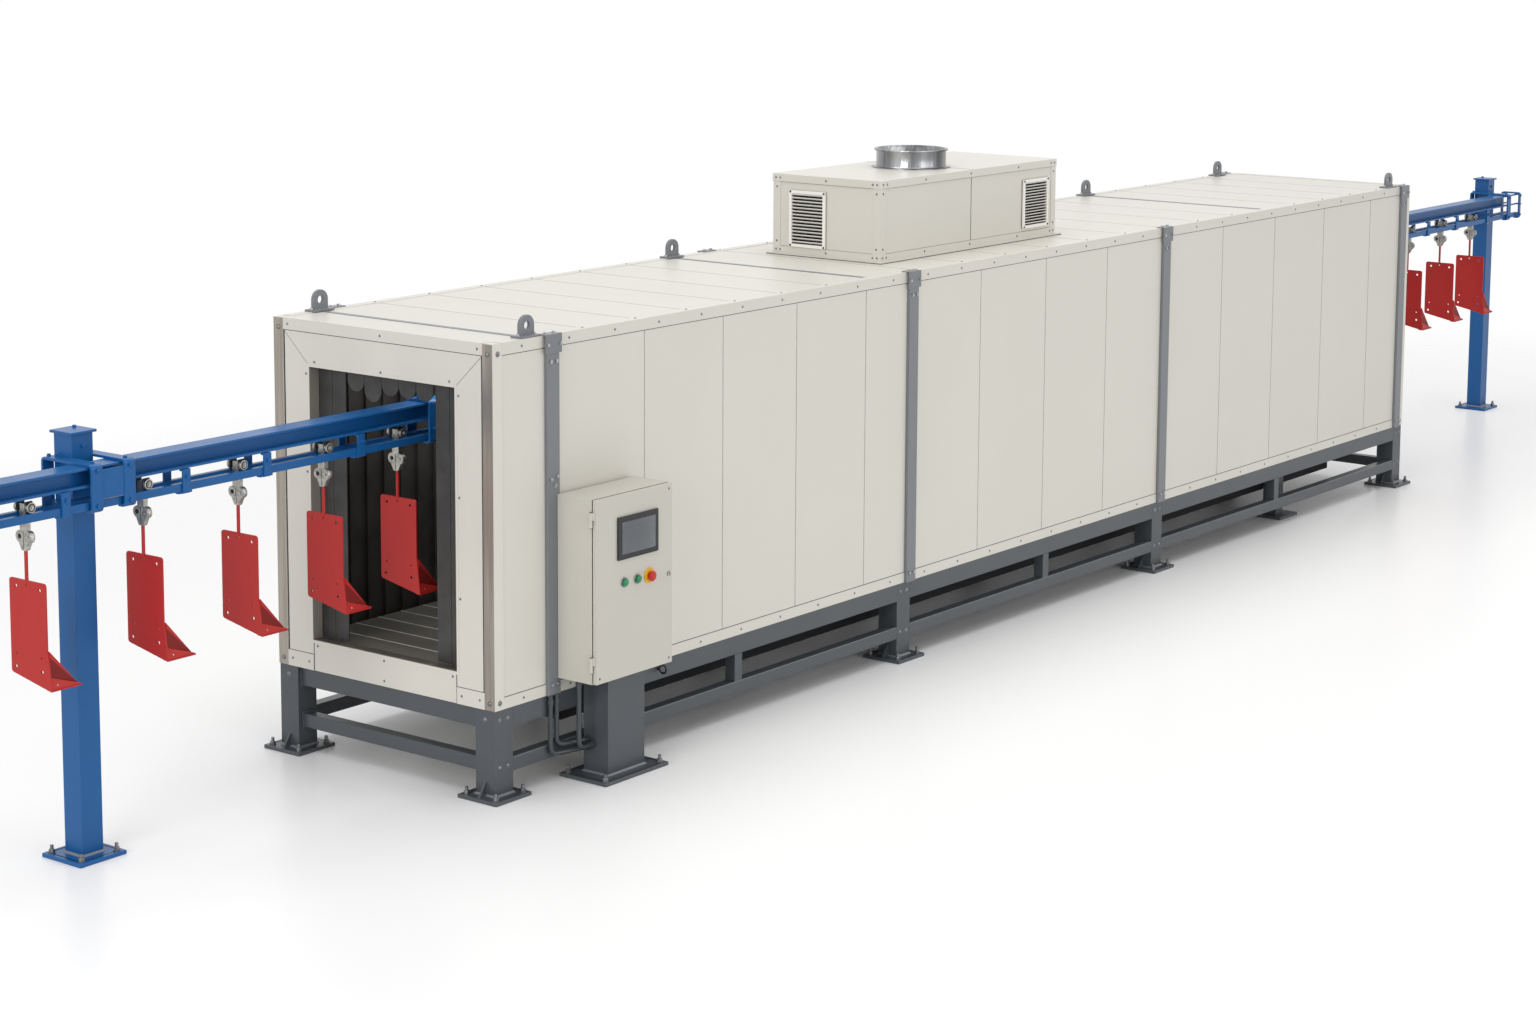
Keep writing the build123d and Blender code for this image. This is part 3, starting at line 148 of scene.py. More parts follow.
def coatedPaint(name):
    finish = coatings[name]
    material, tree, shader, where = startMaterial(name)
    first, second = linear(finish["colour"]), linear(finish["colour"], 1 - finish["shade"])
    blotch = addNode(tree, "ShaderNodeTexNoise",
                     inputs={"Vector": where, "Scale": coatingScales["blotch"], "Detail": 4.0}).outputs["Fac"]
    fine = addNode(tree, "ShaderNodeTexNoise",
                   inputs={"Vector": where, "Scale": coatingScales["fine"], "Detail": 3.0}).outputs["Fac"]
    cloud = addNode(tree, "ShaderNodeMapRange", inputs={"Value": blotch, "From Min": 0.3, "From Max": 0.7})
    colour = addNode(tree, "ShaderNodeMix", {"data_type": "RGBA"},
                     {0: cloud.outputs["Result"], 6: first, 7: second}).outputs[2]
    sheet = addNode(tree, "ShaderNodeNewGeometry").outputs["Random Per Island"]
    spread = addNode(tree, "ShaderNodeMapRange", inputs={"Value": sheet, "To Max": sheetSpread})
    colour = addNode(tree, "ShaderNodeMix", {"data_type": "RGBA"},
                     {0: spread.outputs["Result"], 6: colour, 7: second}).outputs[2]
    if name == "panelPowderCoat":  # painted shade inside the oven, and on the reveals round the openings
        place = addNode(tree, "ShaderNodeSeparateXYZ", inputs={"Vector": where}).outputs
        across = addNode(tree, "ShaderNodeMath", {"operation": "ABSOLUTE"}, {0: place["Y"]}).outputs[0]
        inside = withinLimits(tree, ((place["X"], "GREATER_THAN", ovenInside["x"][0]),
                                     (place["X"], "LESS_THAN", ovenInside["x"][1]),
                                     (across, "LESS_THAN", ovenInside["y"]),
                                     (place["Z"], "GREATER_THAN", ovenInside["z"][0]),
                                     (place["Z"], "LESS_THAN", ovenInside["z"][1])))
        reveal = withinLimits(tree, ((across, "LESS_THAN", revealShade["y"]),
                                     (place["Z"], "GREATER_THAN", revealShade["z"][0]),
                                     (place["Z"], "LESS_THAN", revealShade["z"][1])))
        edge = addNode(tree, "ShaderNodeMath", {"operation": "SUBTRACT", "use_clamp": True},
                       {0: reveal, 1: inside}).outputs[0]
        for factor, tone in ((inside, ovenInside["insideShade"]), (edge, revealShade["colour"])):
            colour = addNode(tree, "ShaderNodeMix", {"data_type": "RGBA"},
                             {0: factor, 6: colour, 7: linear(tone)}).outputs[2]
    if name == "louvreWhite":  # painted shade behind the front edges, measured from the face that each louvre stands in
        place = addNode(tree, "ShaderNodeSeparateXYZ", inputs={"Vector": where}).outputs
        endDepth, sideDepth = [
            addNode(tree, "ShaderNodeMath", {"operation": "SUBTRACT"},
                    {0: louvreShade[face], 1: place[axis]}).outputs[0]
            for axis, face in (("X", "endFace"), ("Y", "sideFace"))]
        onSide = withinLimits(tree, ((place["X"], "GREATER_THAN", louvreShade["split"]),))
        depth = addNode(tree, "ShaderNodeMix", inputs={0: onSide, 2: endDepth, 3: sideDepth}).outputs[0]
        dark = addNode(tree, "ShaderNodeMapRange",
                       inputs={"Value": depth, "From Min": louvreShade["deep"], "From Max": louvreShade["shallow"],
                               "To Min": 1.0, "To Max": 0.0}).outputs["Result"]
        colour = addNode(tree, "ShaderNodeMix", {"data_type": "RGBA"},
                         {0: dark, 6: colour, 7: linear(louvreShade["colour"])}).outputs[2]
    tree.links.new(colour, shader.inputs["Base Color"])
    shader.inputs["Specular IOR Level"].default_value = finish["gloss"]
    roughness = finish["roughness"]
    roughen(tree, shader, where, fine, (roughness - 0.02, roughness + 0.03), coatingScales["grain"], coatingRelief)
    return material


# Bare metals. The stretch is the noise scale per metre along X, Y and Z: low along the brushing
metals = {
    # Brushed stainless trims: soft, long streaks along Z
    "brushedStainless": {"colour": "#aaa298", "roughness": 0.34, "stretch": (60, 60, 2.0), "shade": 0.25},
    # Rolled stainless duct: broad bright and dark bands round the spigot, painted reflection over the rolled grain
    "ductStainless": {"colour": "#b4b5b8", "roughness": 0.22, "stretch": (7.0, 7.0, 0.4), "shade": 0.8},
    # Zinc-plated fasteners: pale, slightly spangled
    "zincPlatedSteel": {"colour": "#b4b5b5", "roughness": 0.34, "stretch": (40, 40, 40), "shade": 0.25},
    # Screws that have dulled with age
    "dullScrewSteel": {"colour": "#858688", "roughness": 0.4, "stretch": (40, 40, 40), "shade": 0.3},
    # Zinc castings of the trolleys: grey with a cloudy cast skin
    "zincCasting": {"colour": "#b9b7b1", "roughness": 0.4, "stretch": (55, 55, 55), "shade": 0.4},
    # Pins and eye bolt with an oil film
    "darkOiledSteel": {"colour": "#57565a", "roughness": 0.32, "stretch": (40, 40, 40), "shade": 0.4},
    # Chemically blackened steel of the roller blocks
    "blackOxideSteel": {"colour": "#3b3b3b", "roughness": 0.4, "stretch": (40, 40, 40), "shade": 0.3},
    # Chrome rings round the buttons: near mirror
    "chromePlate": {"colour": "#8f9194", "roughness": 0.14, "stretch": (20, 20, 20), "shade": 0.05},
}
metalRelief = (0.2, 0.08)


# The stretched grain of a bare metal, and its colour over that grain
def metalGrain(tree, where, finish, coarse):
    stretched = addNode(tree, "ShaderNodeMapping", inputs={"Vector": where, "Scale": finish["stretch"]}).outputs[0]
    grain = addNode(tree, "ShaderNodeTexNoise", inputs={"Vector": stretched, "Scale": 1.0, "Detail": 5.0,
                                                        "Roughness": coarse}).outputs["Fac"]
    spread = addNode(tree, "ShaderNodeMapRange",
                     inputs={"Value": grain, "From Min": 0.35, "From Max": 0.65}).outputs["Result"]
    colour = addNode(tree, "ShaderNodeMix", {"data_type": "RGBA"},
                     {0: spread, 6: linear(finish["colour"]), 7: linear(finish["colour"], 1 - finish["shade"])})
    return grain, colour.outputs[2]


def bareMetal(name):
    finish = metals[name]
    material, tree, shader, where = startMaterial(name)
    grain, colour = metalGrain(tree, where, finish, 0.6)
    tree.links.new(colour, shader.inputs["Base Color"])
    shader.inputs["Metallic"].default_value = 1.0
    roughness = finish["roughness"]
    roughen(tree, shader, where, grain, (roughness - 0.05, roughness + 0.08), None, metalRelief)
    return material


# Stainless corner angle: its front leg is bare, and faces turned along Y, on the leg that lies on the side wall, take
# the panels' colour and lose their metal
cornerAngle = {"sideFrom": 0.5, "sideTo": 0.7, "roughness": (0.3, 0.42), "coarse": 0.5}


def cornerAngleMetal(name):
    material, tree, shader, where = startMaterial(name)
    grain, bare = metalGrain(tree, where, metals["brushedStainless"], cornerAngle["coarse"])
    normal = addNode(tree, "ShaderNodeNewGeometry").outputs["Normal"]
    sideways = addNode(tree, "ShaderNodeSeparateXYZ", inputs={"Vector": normal}).outputs["Y"]
    turned = addNode(tree, "ShaderNodeMath", {"operation": "ABSOLUTE"}, {0: sideways}).outputs[0]
    sideFacing = addNode(tree, "ShaderNodeMapRange",
                      inputs={"Value": turned, "From Min": cornerAngle["sideFrom"],
                              "From Max": cornerAngle["sideTo"]}).outputs["Result"]
    colour = addNode(tree, "ShaderNodeMix", {"data_type": "RGBA"},
                     {0: sideFacing, 6: bare, 7: linear(coatings["panelPowderCoat"]["colour"])}).outputs[2]
    tree.links.new(colour, shader.inputs["Base Color"])
    metallic = addNode(tree, "ShaderNodeMath", {"operation": "SUBTRACT"}, {0: 1.0, 1: sideFacing}).outputs[0]
    tree.links.new(metallic, shader.inputs["Metallic"])
    low, high = cornerAngle["roughness"]
    rough = addNode(tree, "ShaderNodeMapRange", inputs={"Value": grain, "From Min": 0.3, "From Max": 0.7,
                                                        "To Min": low, "To Max": high}).outputs["Result"]
    tree.links.new(rough, shader.inputs["Roughness"])
    return material


# Moulded, glazed and sooted surfaces: colour, second colour, roughness, clouds per metre, metallic
moulded = {
    "sootedLiningSheet": ("#4a4845", "#383633", 0.42, 6.0, 0.2),  # ribbed steel, browned by heat and fumes
    "heatStainedDeck": ("#827e76", "#67645e", 0.42, 3.0, 0.3),  # bare deck sheet, unevenly stained
    "siliconeCurtain": ("#3a3938", "#2b2a29", 0.55, 9.0, 0.0),  # coated glass cloth: dull and soft
    "bezelPlastic": ("#1f2124", "#191b1d", 0.5, 40.0, 0.0),  # textured ABS frame of the screen
    "displayGlass": ("#62666a", "#575b60", 0.12, 2.5, 0.0),  # dark glass with a clear reflection
    "greenLens": ("#0f8f5c", "#0a6f46", 0.2, 60.0, 0.0),  # polished acrylic dome
    "yellowPlastic": ("#e8b416", "#d9a30f", 0.34, 50.0, 0.0),  # moulded collar
    "redPlastic": ("#c4120d", "#ab0e0a", 0.34, 50.0, 0.0),  # moulded mushroom head
    "sealStrip": ("#9c9a94", "#8b8983", 0.6, 30.0, 0.0),  # grey sealant in the panel joints
    "darkJoint": ("#3a3835", "#2b2927", 0.7, 30.0, 0.0),  # unlit gap between sheets
    "deckJointFiller": ("#e3e2dd", "#d2d1cc", 0.35, 30.0, 0.0),  # pale, shiny lines across the deck
    "moduleGrey": ("#b9bbb9", "#a9abaa", 0.4, 30.0, 0.0),  # light switchgear housings
    "moduleDark": ("#2f3236", "#24272a", 0.4, 30.0, 0.0),  # dark switchgear housings and wire trunking
    "thresholdSteel": ("#7b7871", "#65625c", 0.42, 12.0, 0.6),  # worn plate over the sills
    "louvreShadow": ("#141414", "#0d0d0d", 0.8, 30.0, 0.0),  # darkness behind slots and holes
}
mouldedGrain = 1 / (1.5 * mm)  # mould texture, about 0.3 mm in life, drawn at 1.5 mm so that it shows
mouldedRelief = (0.1, 0.08)


def mouldedSurface(name):
    first, second, roughness, scale, metallic = moulded[name]
    material, tree, shader, where = startMaterial(name)
    clouds = addNode(tree, "ShaderNodeTexNoise",
                     inputs={"Vector": where, "Scale": scale, "Detail": 5.0}).outputs["Fac"]
    spread = addNode(tree, "ShaderNodeMapRange", inputs={"Value": clouds, "From Min": 0.35, "From Max": 0.65})
    colour = addNode(tree, "ShaderNodeMix", {"data_type": "RGBA"},
                     {0: spread.outputs["Result"], 6: linear(first), 7: linear(second)}).outputs[2]
    tree.links.new(colour, shader.inputs["Base Color"])
    shader.inputs["Metallic"].default_value = metallic
    roughen(tree, shader, where, clouds, (roughness - 0.04, roughness + 0.06), mouldedGrain, mouldedRelief)
    return material


paint = {name: coatedPaint(name) for name in coatings}
paint.update({name: bareMetal(name) for name in metals})
paint.update({name: mouldedSurface(name) for name in moulded})
paint["cornerAngleMetal"] = cornerAngleMetal("cornerAngleMetal")
print("materials made")

slotMaterial = {
    "panel_white": "panelPowderCoat", "cabinet_white": "cabinetPowderCoat", "frame_grey": "slateSatinPaint",
    "strap_grey": "strapSemiGlossPaint", "line_blue": "blueLineEnamel", "carrier_red": "redCarrierPaint",
    "trim_steel": "brushedStainless", "cast_grey": "zincCasting", "wheel_dark": "darkOiledSteel",
    "louvre_dark": "panelPowderCoat", "spigot_steel": "ductStainless", "lining_dark": "sootedLiningSheet",
    "curtain_dark": "siliconeCurtain", "screen_black": "bezelPlastic", "button_green": "greenLens",
    "bezel_chrome": "chromePlate", "collar_yellow": "yellowPlastic", "stop_red": "redPlastic",
    "conduit_dark": "conduitCoat", "zinc_steel": "zincPlatedSteel",
}
nodeMaterial = {
    "floor_lining": "heatStainedDeck", "corner_angles": "cornerAngleMetal", "belly_duct": "ductShadowPaint",
    "body_hinge_leaves": "cabinetPowderCoat", "door_hinge_leaves": "cabinetPowderCoat",
    "trolley_wheels": "zincCasting", "end_louvre": "louvreWhite", "side_louvre": "louvreWhite",
}
for row in frame["record"]["subparts"]:
    node = frame["nodes"][row["node"]]
    node.data.materials.clear()
    node.data.materials.append(paint[nodeMaterial.get(row["node"], slotMaterial[row["material_slot"]])])

# Softened edges on the CAD nodes, widths in mm
softEdges = {
    "near_wall_panels": 1.5, "far_wall_panels": 1.5, "roof_panels": 1.5, "entry_header": 1.5, "entry_jambs": 1.5,
    "entry_sill": 1.5, "exit_header": 1.5, "exit_jambs": 1.5, "exit_sill": 1.5, "corner_angles": 1.0,
    "edge_trims": 0.7, "wall_straps": 1.5, "strap_caps": 1.2, "lifting_lugs": 1.5, "base_legs": 2.0,
    "side_beams": 1.9, "lower_rails": 1.9, "cross_beams": 1.9, "end_rails": 1.9, "stub_posts": 1.9,
    "line_posts": 2.2, "overhead_track": 1.5, "carrier_rails": 2.5, "post_yokes": 1.5, "tunnel_yokes": 1.5,
    "end_frames": 1.5, "rail_hangers": 1.5, "work_carriers": 1.0, "trolleys": 1.2, "trolley_wheels": 1.5,
    "cabinet_body": 0.9, "cabinet_door": 0.9, "cabinet_pedestal": 2.5, "fan_lid": 2.0, "fan_frame": 0.9,
    "touch_screen": 2.5, "stop_button": 1.5, "stop_collar": 1.5, "button_bezels": 1.2, "start_button": 2.0,
    "reset_button": 2.0, "door_lock": 1.2, "exhaust_spigot": 0.8,
}
edgeFinish = {"weld": 0.01, "segments": 2, "angle": 40}
for name, width in softEdges.items():
    node = frame["nodes"][name]
    weld = node.modifiers.new("weldSplits", "WELD")
    weld.merge_threshold = edgeFinish["weld"] * mm
    bevel = node.modifiers.new("softEdge", "BEVEL")
    bevel.width = width * mm
    bevel.segments = edgeFinish["segments"]
    bevel.limit_method = "ANGLE"
    bevel.angle_limit = math.radians(edgeFinish["angle"])
    bevel.harden_normals = True


def keepPiece(name, bm, material, body="oven", smooth=True):
    bmesh.ops.recalc_face_normals(bm, faces=bm.faces)
    mesh = bpy.data.meshes.new(name)
    bm.to_mesh(mesh)
    bm.free()
    if smooth:
        mesh.shade_smooth()
        mesh.set_sharp_from_angle(angle=math.radians(35))
    piece = bpy.data.objects.new(name, mesh)
    bpy.context.scene.collection.objects.link(piece)
    mesh.materials.append(paint[material])
    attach(piece, body)
    return piece


# A slab between two opposite corners in mm, given in any order
def addSlab(bm, corner, opposite, bevel=0.0, turn=None):
    low = Vector([min(pair) for pair in zip(corner, opposite)]) * mm
    high = Vector([max(pair) for pair in zip(corner, opposite)]) * mm
    made = bmesh.ops.create_cube(bm, size=1.0)["verts"]
    matrix = Matrix.Translation((low + high) / 2) @ Matrix.Diagonal((*(high - low), 1.0))
    if turn is not None:
        matrix = turn @ matrix
    bmesh.ops.transform(bm, matrix=matrix, verts=made)
    if bevel:
        edges = list({edge for vert in made for edge in vert.link_edges})
        bmesh.ops.bevel(bm, geom=edges, offset=bevel * mm, offset_type="OFFSET", affect="EDGES", segments=2,
                        profile=0.5, material=-1)


def keepPattern(name, bm):
    mesh = bpy.data.meshes.new(name)
    bm.to_mesh(mesh)
    bm.free()
    return mesh


def turnedPattern(profile, steps):
    bm = bmesh.new()
    verts = [bm.verts.new((r * mm, 0.0, z * mm)) for r, z in profile]
    edges = [bm.edges.new(pair) for pair in zip(verts, verts[1:])]
    bmesh.ops.spin(bm, geom=verts + edges, cent=(0, 0, 0), axis=(0, 0, 1), dvec=(0, 0, 0),
                   angle=2 * math.pi, steps=steps, use_merge=True)
    bmesh.ops.remove_doubles(bm, verts=bm.verts, dist=0.001 * mm)
    return keepPattern("turnedPattern", bm)


# A round bar, cone or prism standing on its base height
def addCone(bm, segments, radius, tip, base, height):
    made = bmesh.ops.create_cone(bm, cap_ends=True, segments=segments, radius1=radius * mm, radius2=tip * mm,
                                 depth=height * mm)["verts"]
    bmesh.ops.translate(bm, vec=(0, 0, (base + height / 2) * mm), verts=made)
    return made


def hexPattern(flats, height, washer, washerHeight, studRadius=0.0, studHeight=0.0):
    bm = bmesh.new()
    corner = flats / math.sqrt(3)
    addCone(bm, 6, corner, corner, washerHeight, height)
    top = [edge for edge in bm.edges if all(v.co.z > (washerHeight + height * 0.9) * mm for v in edge.verts)]
    bmesh.ops.bevel(bm, geom=top, offset=0.08 * flats * mm, offset_type="OFFSET", affect="EDGES", segments=1,
                    profile=0.5, material=-1)
    addCone(bm, 16, washer, washer, 0.0, washerHeight)
    if studHeight:
        addCone(bm, 12, studRadius, studRadius, 0.0, studHeight)
    return keepPattern("hexPattern", bm)


def facing(place, normal, spin=0.0):
    turn = Vector(normal).to_track_quat("Z", "Y").to_matrix().to_4x4()
    return Matrix.Translation(Vector(place) * mm) @ turn @ Matrix.Rotation(spin, 4, "Z")


def scatter(name, pattern, places, material, body="oven"):
    bm = bmesh.new()
    for matrix in places:
        start = len(bm.verts)
        bm.from_mesh(pattern)
        bm.verts.ensure_lookup_table()
        bmesh.ops.transform(bm, matrix=matrix, verts=bm.verts[start:])
    return keepPiece(name, bm, material, body)


# Places shared by several pieces, all from the part's own sizes in mm
cad = {
    "halfWidth": 580, "entryX": -50, "exitX": 7730, "roofZ": 1750, "trim": 2, "legY": 530, "plateTop": 15,
    "legs": (0, 2650, 4910, 7680), "posts": ((-1420, 145.5), (10430, 145.5)), "pedestal": (537, -671.0),
    "straps": (273, 2685, 4925, 7642), "roofJoints": (168, 2392, 6018), "fan": (2834, 4318, 300, 2088, 2124),
    "wallSeams": (832, 1334, 1836, 2338, 3245, 3805, 4365, 5525, 6095, 6665, 7235),
    "carriers": (-1755, -1240, -790, -360, 35, 8981, 9448, 9901), "doorFront": -790,
}
hands = (-1, 1)
ends = ((cad["entryX"], -1), (cad["exitX"], 1))
side = cad["halfWidth"] + cad["trim"]
top = cad["roofZ"] + cad["trim"]

panScrew = turnedPattern([(0, 3.2), (2.0, 3.0), (4.2, 2.0), (5.2, 0.6), (5.4, 0.0)], 10)
rivet = turnedPattern([(0, 2.4), (2.0, 2.0), (3.4, 1.0), (4.0, 0.0)], 8)
smallHex = hexPattern(13, 6, 8.5, 1.6)
domeBolt = turnedPattern([(0, 5.6), (3.6, 5.1), (6.6, 3.4), (7.8, 1.6), (8.2, 1.4), (10.4, 1.4), (10.8, 0.0)], 16)
anchorStud = hexPattern(20, 11, 14, 2.5, 6.5, 28)


def clear(x, blocked, reach):
    return all(abs(x - b) > reach for b in blocked)


# Screws along the sheet trims: roof edges, both long sides, and round the portals
screws = {
    "along": range(110, 7620, 270), "trimZ": 1728, "footZ": 372, "topY": 557, "strapReach": 60,
    "headerY": (-505, 0, 505),
    "portal": ((360, 1590), (0, 1586), (-360, 1590), (365, 452), (0, 452), (-365, 452), (0, 372)),
    "cornerY": (505, 412), "cornerZ": 383, "jambY": 407, "jambZ": (760, 1150, 1540),
}
roofEdges = [*cad["roofJoints"], 7680]
sheetCounts = (7, 10, 5)  # roof sheets between one joint strip and the next
roofSeams = [start + (stop - start) * i / count
             for start, stop, count in zip(roofEdges, roofEdges[1:], sheetCounts) for i in range(1, count)]
trimPlaces = [facing((x, hand * screws["topY"], top), (0, 0, 1)) for x in roofSeams for hand in hands
              if clear(x, cad["straps"], screws["strapReach"])]
for x in screws["along"]:
    for hand in hands:
        if clear(x, cad["straps"], screws["strapReach"]):
            for z in (screws["trimZ"], screws["footZ"]):
                trimPlaces.append(facing((x, hand * side, z), (0, hand, 0)))
for end, out in ends:
    trimFace = end + out * cad["trim"]
    for y in screws["headerY"]:
        trimPlaces.append(facing((trimFace, y, screws["trimZ"]), (out, 0, 0)))
    for y, z in screws["portal"]:
        trimPlaces.append(facing((end, y, z), (out, 0, 0)))
    for hand in hands:
        for y in screws["cornerY"]:
            trimPlaces.append(facing((trimFace, hand * y, screws["cornerZ"]), (out, 0, 0)))
        for z in screws["jambZ"]:
            trimPlaces.append(facing((end, hand * screws["jambY"], z), (out, 0, 0)))
scatter("trimScrews", panScrew, trimPlaces, "dullScrewSteel")

jointRivets = {"y": range(-480, 481, 160)}
jointPlaces = [facing((x, y, top), (0, 0, 1)) for x in cad["roofJoints"] for y in jointRivets["y"]]
scatter("roofJointRivets", rivet, jointPlaces, "zincPlatedSteel")

angleBolts = {"z": (378, 1712), "frontY": 556, "frontOut": 3, "sideY": 583, "sideBack": 25}
cornerPlaces = []
for end, out in ends:
    for hand in hands:
        for z in angleBolts["z"]:
            cornerPlaces.append(facing((end + out * angleBolts["frontOut"], hand * angleBolts["frontY"], z),
                                       (out, 0, 0)))
            cornerPlaces.append(facing((end - out * angleBolts["sideBack"], hand * angleBolts["sideY"], z),
                                       (0, hand, 0)))
scatter("cornerBolts", domeBolt, cornerPlaces, "dullScrewSteel")

# Bolts of the wall straps: two rows on the wall, two on the roof, and the cap plate. The first has three more
strapBolts = {
    "apart": 17, "faceY": 596, "faceRows": ((1650, 0.4), (392, 0.7)), "roofY": 576, "roofZ": 1756,
    "roofSpread": 1.4, "capX": ((-36, 0.2), (36, 0.5)), "capY": 600, "capZ": 1716,
    "cluster": ((-17, 1196, 0.1), (19, 1204, 0.6), (6, 1170, 0.3)),
}
strapPlaces = []
for x in cad["straps"]:
    for hand in hands:
        for offset in (-strapBolts["apart"], strapBolts["apart"]):
            for z, spin in strapBolts["faceRows"]:
                strapPlaces.append(facing((x + offset, hand * strapBolts["faceY"], z), (0, hand, 0), spin))
            strapPlaces.append(facing((x + offset * strapBolts["roofSpread"], hand * strapBolts["roofY"],
                                       strapBolts["roofZ"]), (0, 0, 1), 0.3))
        if x == cad["straps"][0]:
            for dx, z, spin in strapBolts["cluster"]:
                strapPlaces.append(facing((x + dx, hand * strapBolts["faceY"], z), (0, hand, 0), spin))
        for dx, spin in strapBolts["capX"]:
            strapPlaces.append(facing((x + dx, hand * strapBolts["capY"], strapBolts["capZ"]), (0, hand, 0), spin))
scatter("strapBolts", smallHex, strapPlaces, "zincPlatedSteel")

lugs = {"places": ((168, -551), (168, 551), (2392, 551), (6018, 551), (7512, -551), (7512, 551)), "footZ": 1760,
        "bolts": (-46, 46)}
lugPlaces = [facing((x + dx, y, lugs["footZ"]), (0, 0, 1), 0.2) for x, y in lugs["places"] for dx in lugs["bolts"]]
scatter("lugBolts", smallHex, lugPlaces, "zincPlatedSteel")

legBolts = {"apart": (-24, 24), "beamZ": 312, "railZ": 126}
legPlaces = []
for x in cad["legs"]:
    for hand in hands:
        for offset in legBolts["apart"]:
            for z in (legBolts["beamZ"], legBolts["railZ"]):
                legPlaces.append(facing((x + offset, hand * cad["halfWidth"], z), (0, hand, 0)))
for end, out in ends:
    for hand in hands:
        legPlaces.append(facing((end, hand * cad["legY"], legBolts["beamZ"]), (out, 0, 0)))
scatter("legBolts", domeBolt, legPlaces, "dullScrewSteel")

# Anchor nuts stand at the corners of every foot plate, each turned its own way
anchors = {"leg": (75, 75), "post": (80, 80), "pedestal": (165, 95)}
plates = [(x, hand * cad["legY"], *anchors["leg"]) for x in cad["legs"] for hand in hands]
plates += [(x, y, *anchors["post"]) for x, y in cad["posts"]] + [(*cad["pedestal"], *anchors["pedestal"])]
anchorPlaces = [facing((x + dx, y + dy, cad["plateTop"]), (0, 0, 1), random.random())
                for x, y, reachX, reachY in plates for dx in (-reachX, reachX) for dy in (-reachY, reachY)]
scatter("anchorNuts", anchorStud, anchorPlaces, "dullScrewSteel")
print("fasteners made")

# Weld fillets where the legs, posts and pedestal meet their plates, in the lighter strap paint as a painted highlight
# round each foot
welds = {"size": 7, "top": 0.5, "leg": (100, 100), "post": (95, 95), "pedestal": (220, 125)}
bm = bmesh.new()
squares = [(x, hand * cad["legY"], *welds["leg"]) for x in cad["legs"] for hand in hands]
squares += [(x, y, *welds["post"]) for x, y in cad["posts"]] + [(*cad["pedestal"], *welds["pedestal"])]
for x, y, wide, deep in squares:
    made = bmesh.ops.create_cone(bm, cap_ends=False, segments=4, radius1=1.0, radius2=1.0,
                                 depth=welds["size"] * mm)["verts"]
    for vert in made:
        grow = welds["size"] if vert.co.z < 0 else welds["top"]
        vert.co = Vector((math.copysign((wide / 2 + grow) * mm, vert.co.x + vert.co.y),
                          math.copysign((deep / 2 + grow) * mm, vert.co.y - vert.co.x), vert.co.z))
    bmesh.ops.translate(bm, vec=Vector((x, y, cad["plateTop"] + welds["size"] / 2)) * mm, verts=made)
keepPiece("footWelds", bm, "strapSemiGlossPaint")

# Sealed joints between the wall and roof panels, and the mitres of the portals
seals = {"wide": 4.0, "proud": 0.3, "sunk": 0.5, "wallZ": (396, 1704), "roofY": 534,
         "mitre": {"y": 458, "z": 1637, "run": 136, "rise": 128, "wide": 2.4}}
bm = bmesh.new()
half = seals["wide"] / 2
for x in cad["wallSeams"]:
    for hand in hands:
        addSlab(bm, (x - half, hand * (cad["halfWidth"] - seals["sunk"]), seals["wallZ"][0]),
                (x + half, hand * (cad["halfWidth"] + seals["proud"]), seals["wallZ"][1]))
for x in roofSeams:
    addSlab(bm, (x - half, -seals["roofY"], cad["roofZ"] - seals["sunk"]),
            (x + half, seals["roofY"], cad["roofZ"] + seals["proud"]))
mitre = seals["mitre"]
for end, out in ends:
    for hand in hands:
        reach = math.hypot(mitre["run"], mitre["rise"])
        turn = Matrix.Translation((0, hand * mitre["y"] * mm, mitre["z"] * mm)) @ Matrix.Rotation(
            math.atan2(mitre["rise"], hand * mitre["run"]), 4, "X")
        addSlab(bm, (end - out * seals["sunk"], -reach / 2, -mitre["wide"] / 2),
                (end + out * seals["proud"], reach / 2, mitre["wide"] / 2), turn=turn)
keepPiece("panelSeals", bm, "sealStrip", smooth=False)

# Dark gaps: beside the angles and sills, across the jambs and header, along both trims, and round the fan's foot
gaps = {
    "sunk": 0.5, "proud": 0.4, "wallSunk": 0.4, "wallProud": 0.5, "longX": (5, 7675),
    "longZ": ((1702.5, 1704.9), (395.1, 397.5)),
    "headerY": 529.6, "headerZ": (1702.4, 1704.9), "fanReach": 27, "fanZ": (1750.05, 1752.5),
    "upright": (((523, 529.6), (351, 1704)), ((383.4, 387.2), (351, 474)), ((388, 529), (415.1, 417.2))),
}
bm = bmesh.new()
for end, out in ends:
    back, front = end - out * gaps["sunk"], end + out * gaps["proud"]
    for hand in hands:
        for (near, far), (low, high) in gaps["upright"]:
            addSlab(bm, (back, hand * near, low), (front, hand * far, high))
    addSlab(bm, (back, -gaps["headerY"], gaps["headerZ"][0]), (front, gaps["headerY"], gaps["headerZ"][1]))
for hand in hands:
    for low, high in gaps["longZ"]:
        addSlab(bm, (gaps["longX"][0], hand * (cad["halfWidth"] - gaps["wallSunk"]), low),
                (gaps["longX"][1], hand * (cad["halfWidth"] + gaps["wallProud"]), high))
fanX0, fanX1, fanY, fanTop, fanLid = cad["fan"]
addSlab(bm, (fanX0 - gaps["fanReach"], -fanY - gaps["fanReach"], gaps["fanZ"][0]),
        (fanX1 + gaps["fanReach"], fanY + gaps["fanReach"], gaps["fanZ"][1]))
keepPiece("jointShadows", bm, "darkJoint", smooth=False)

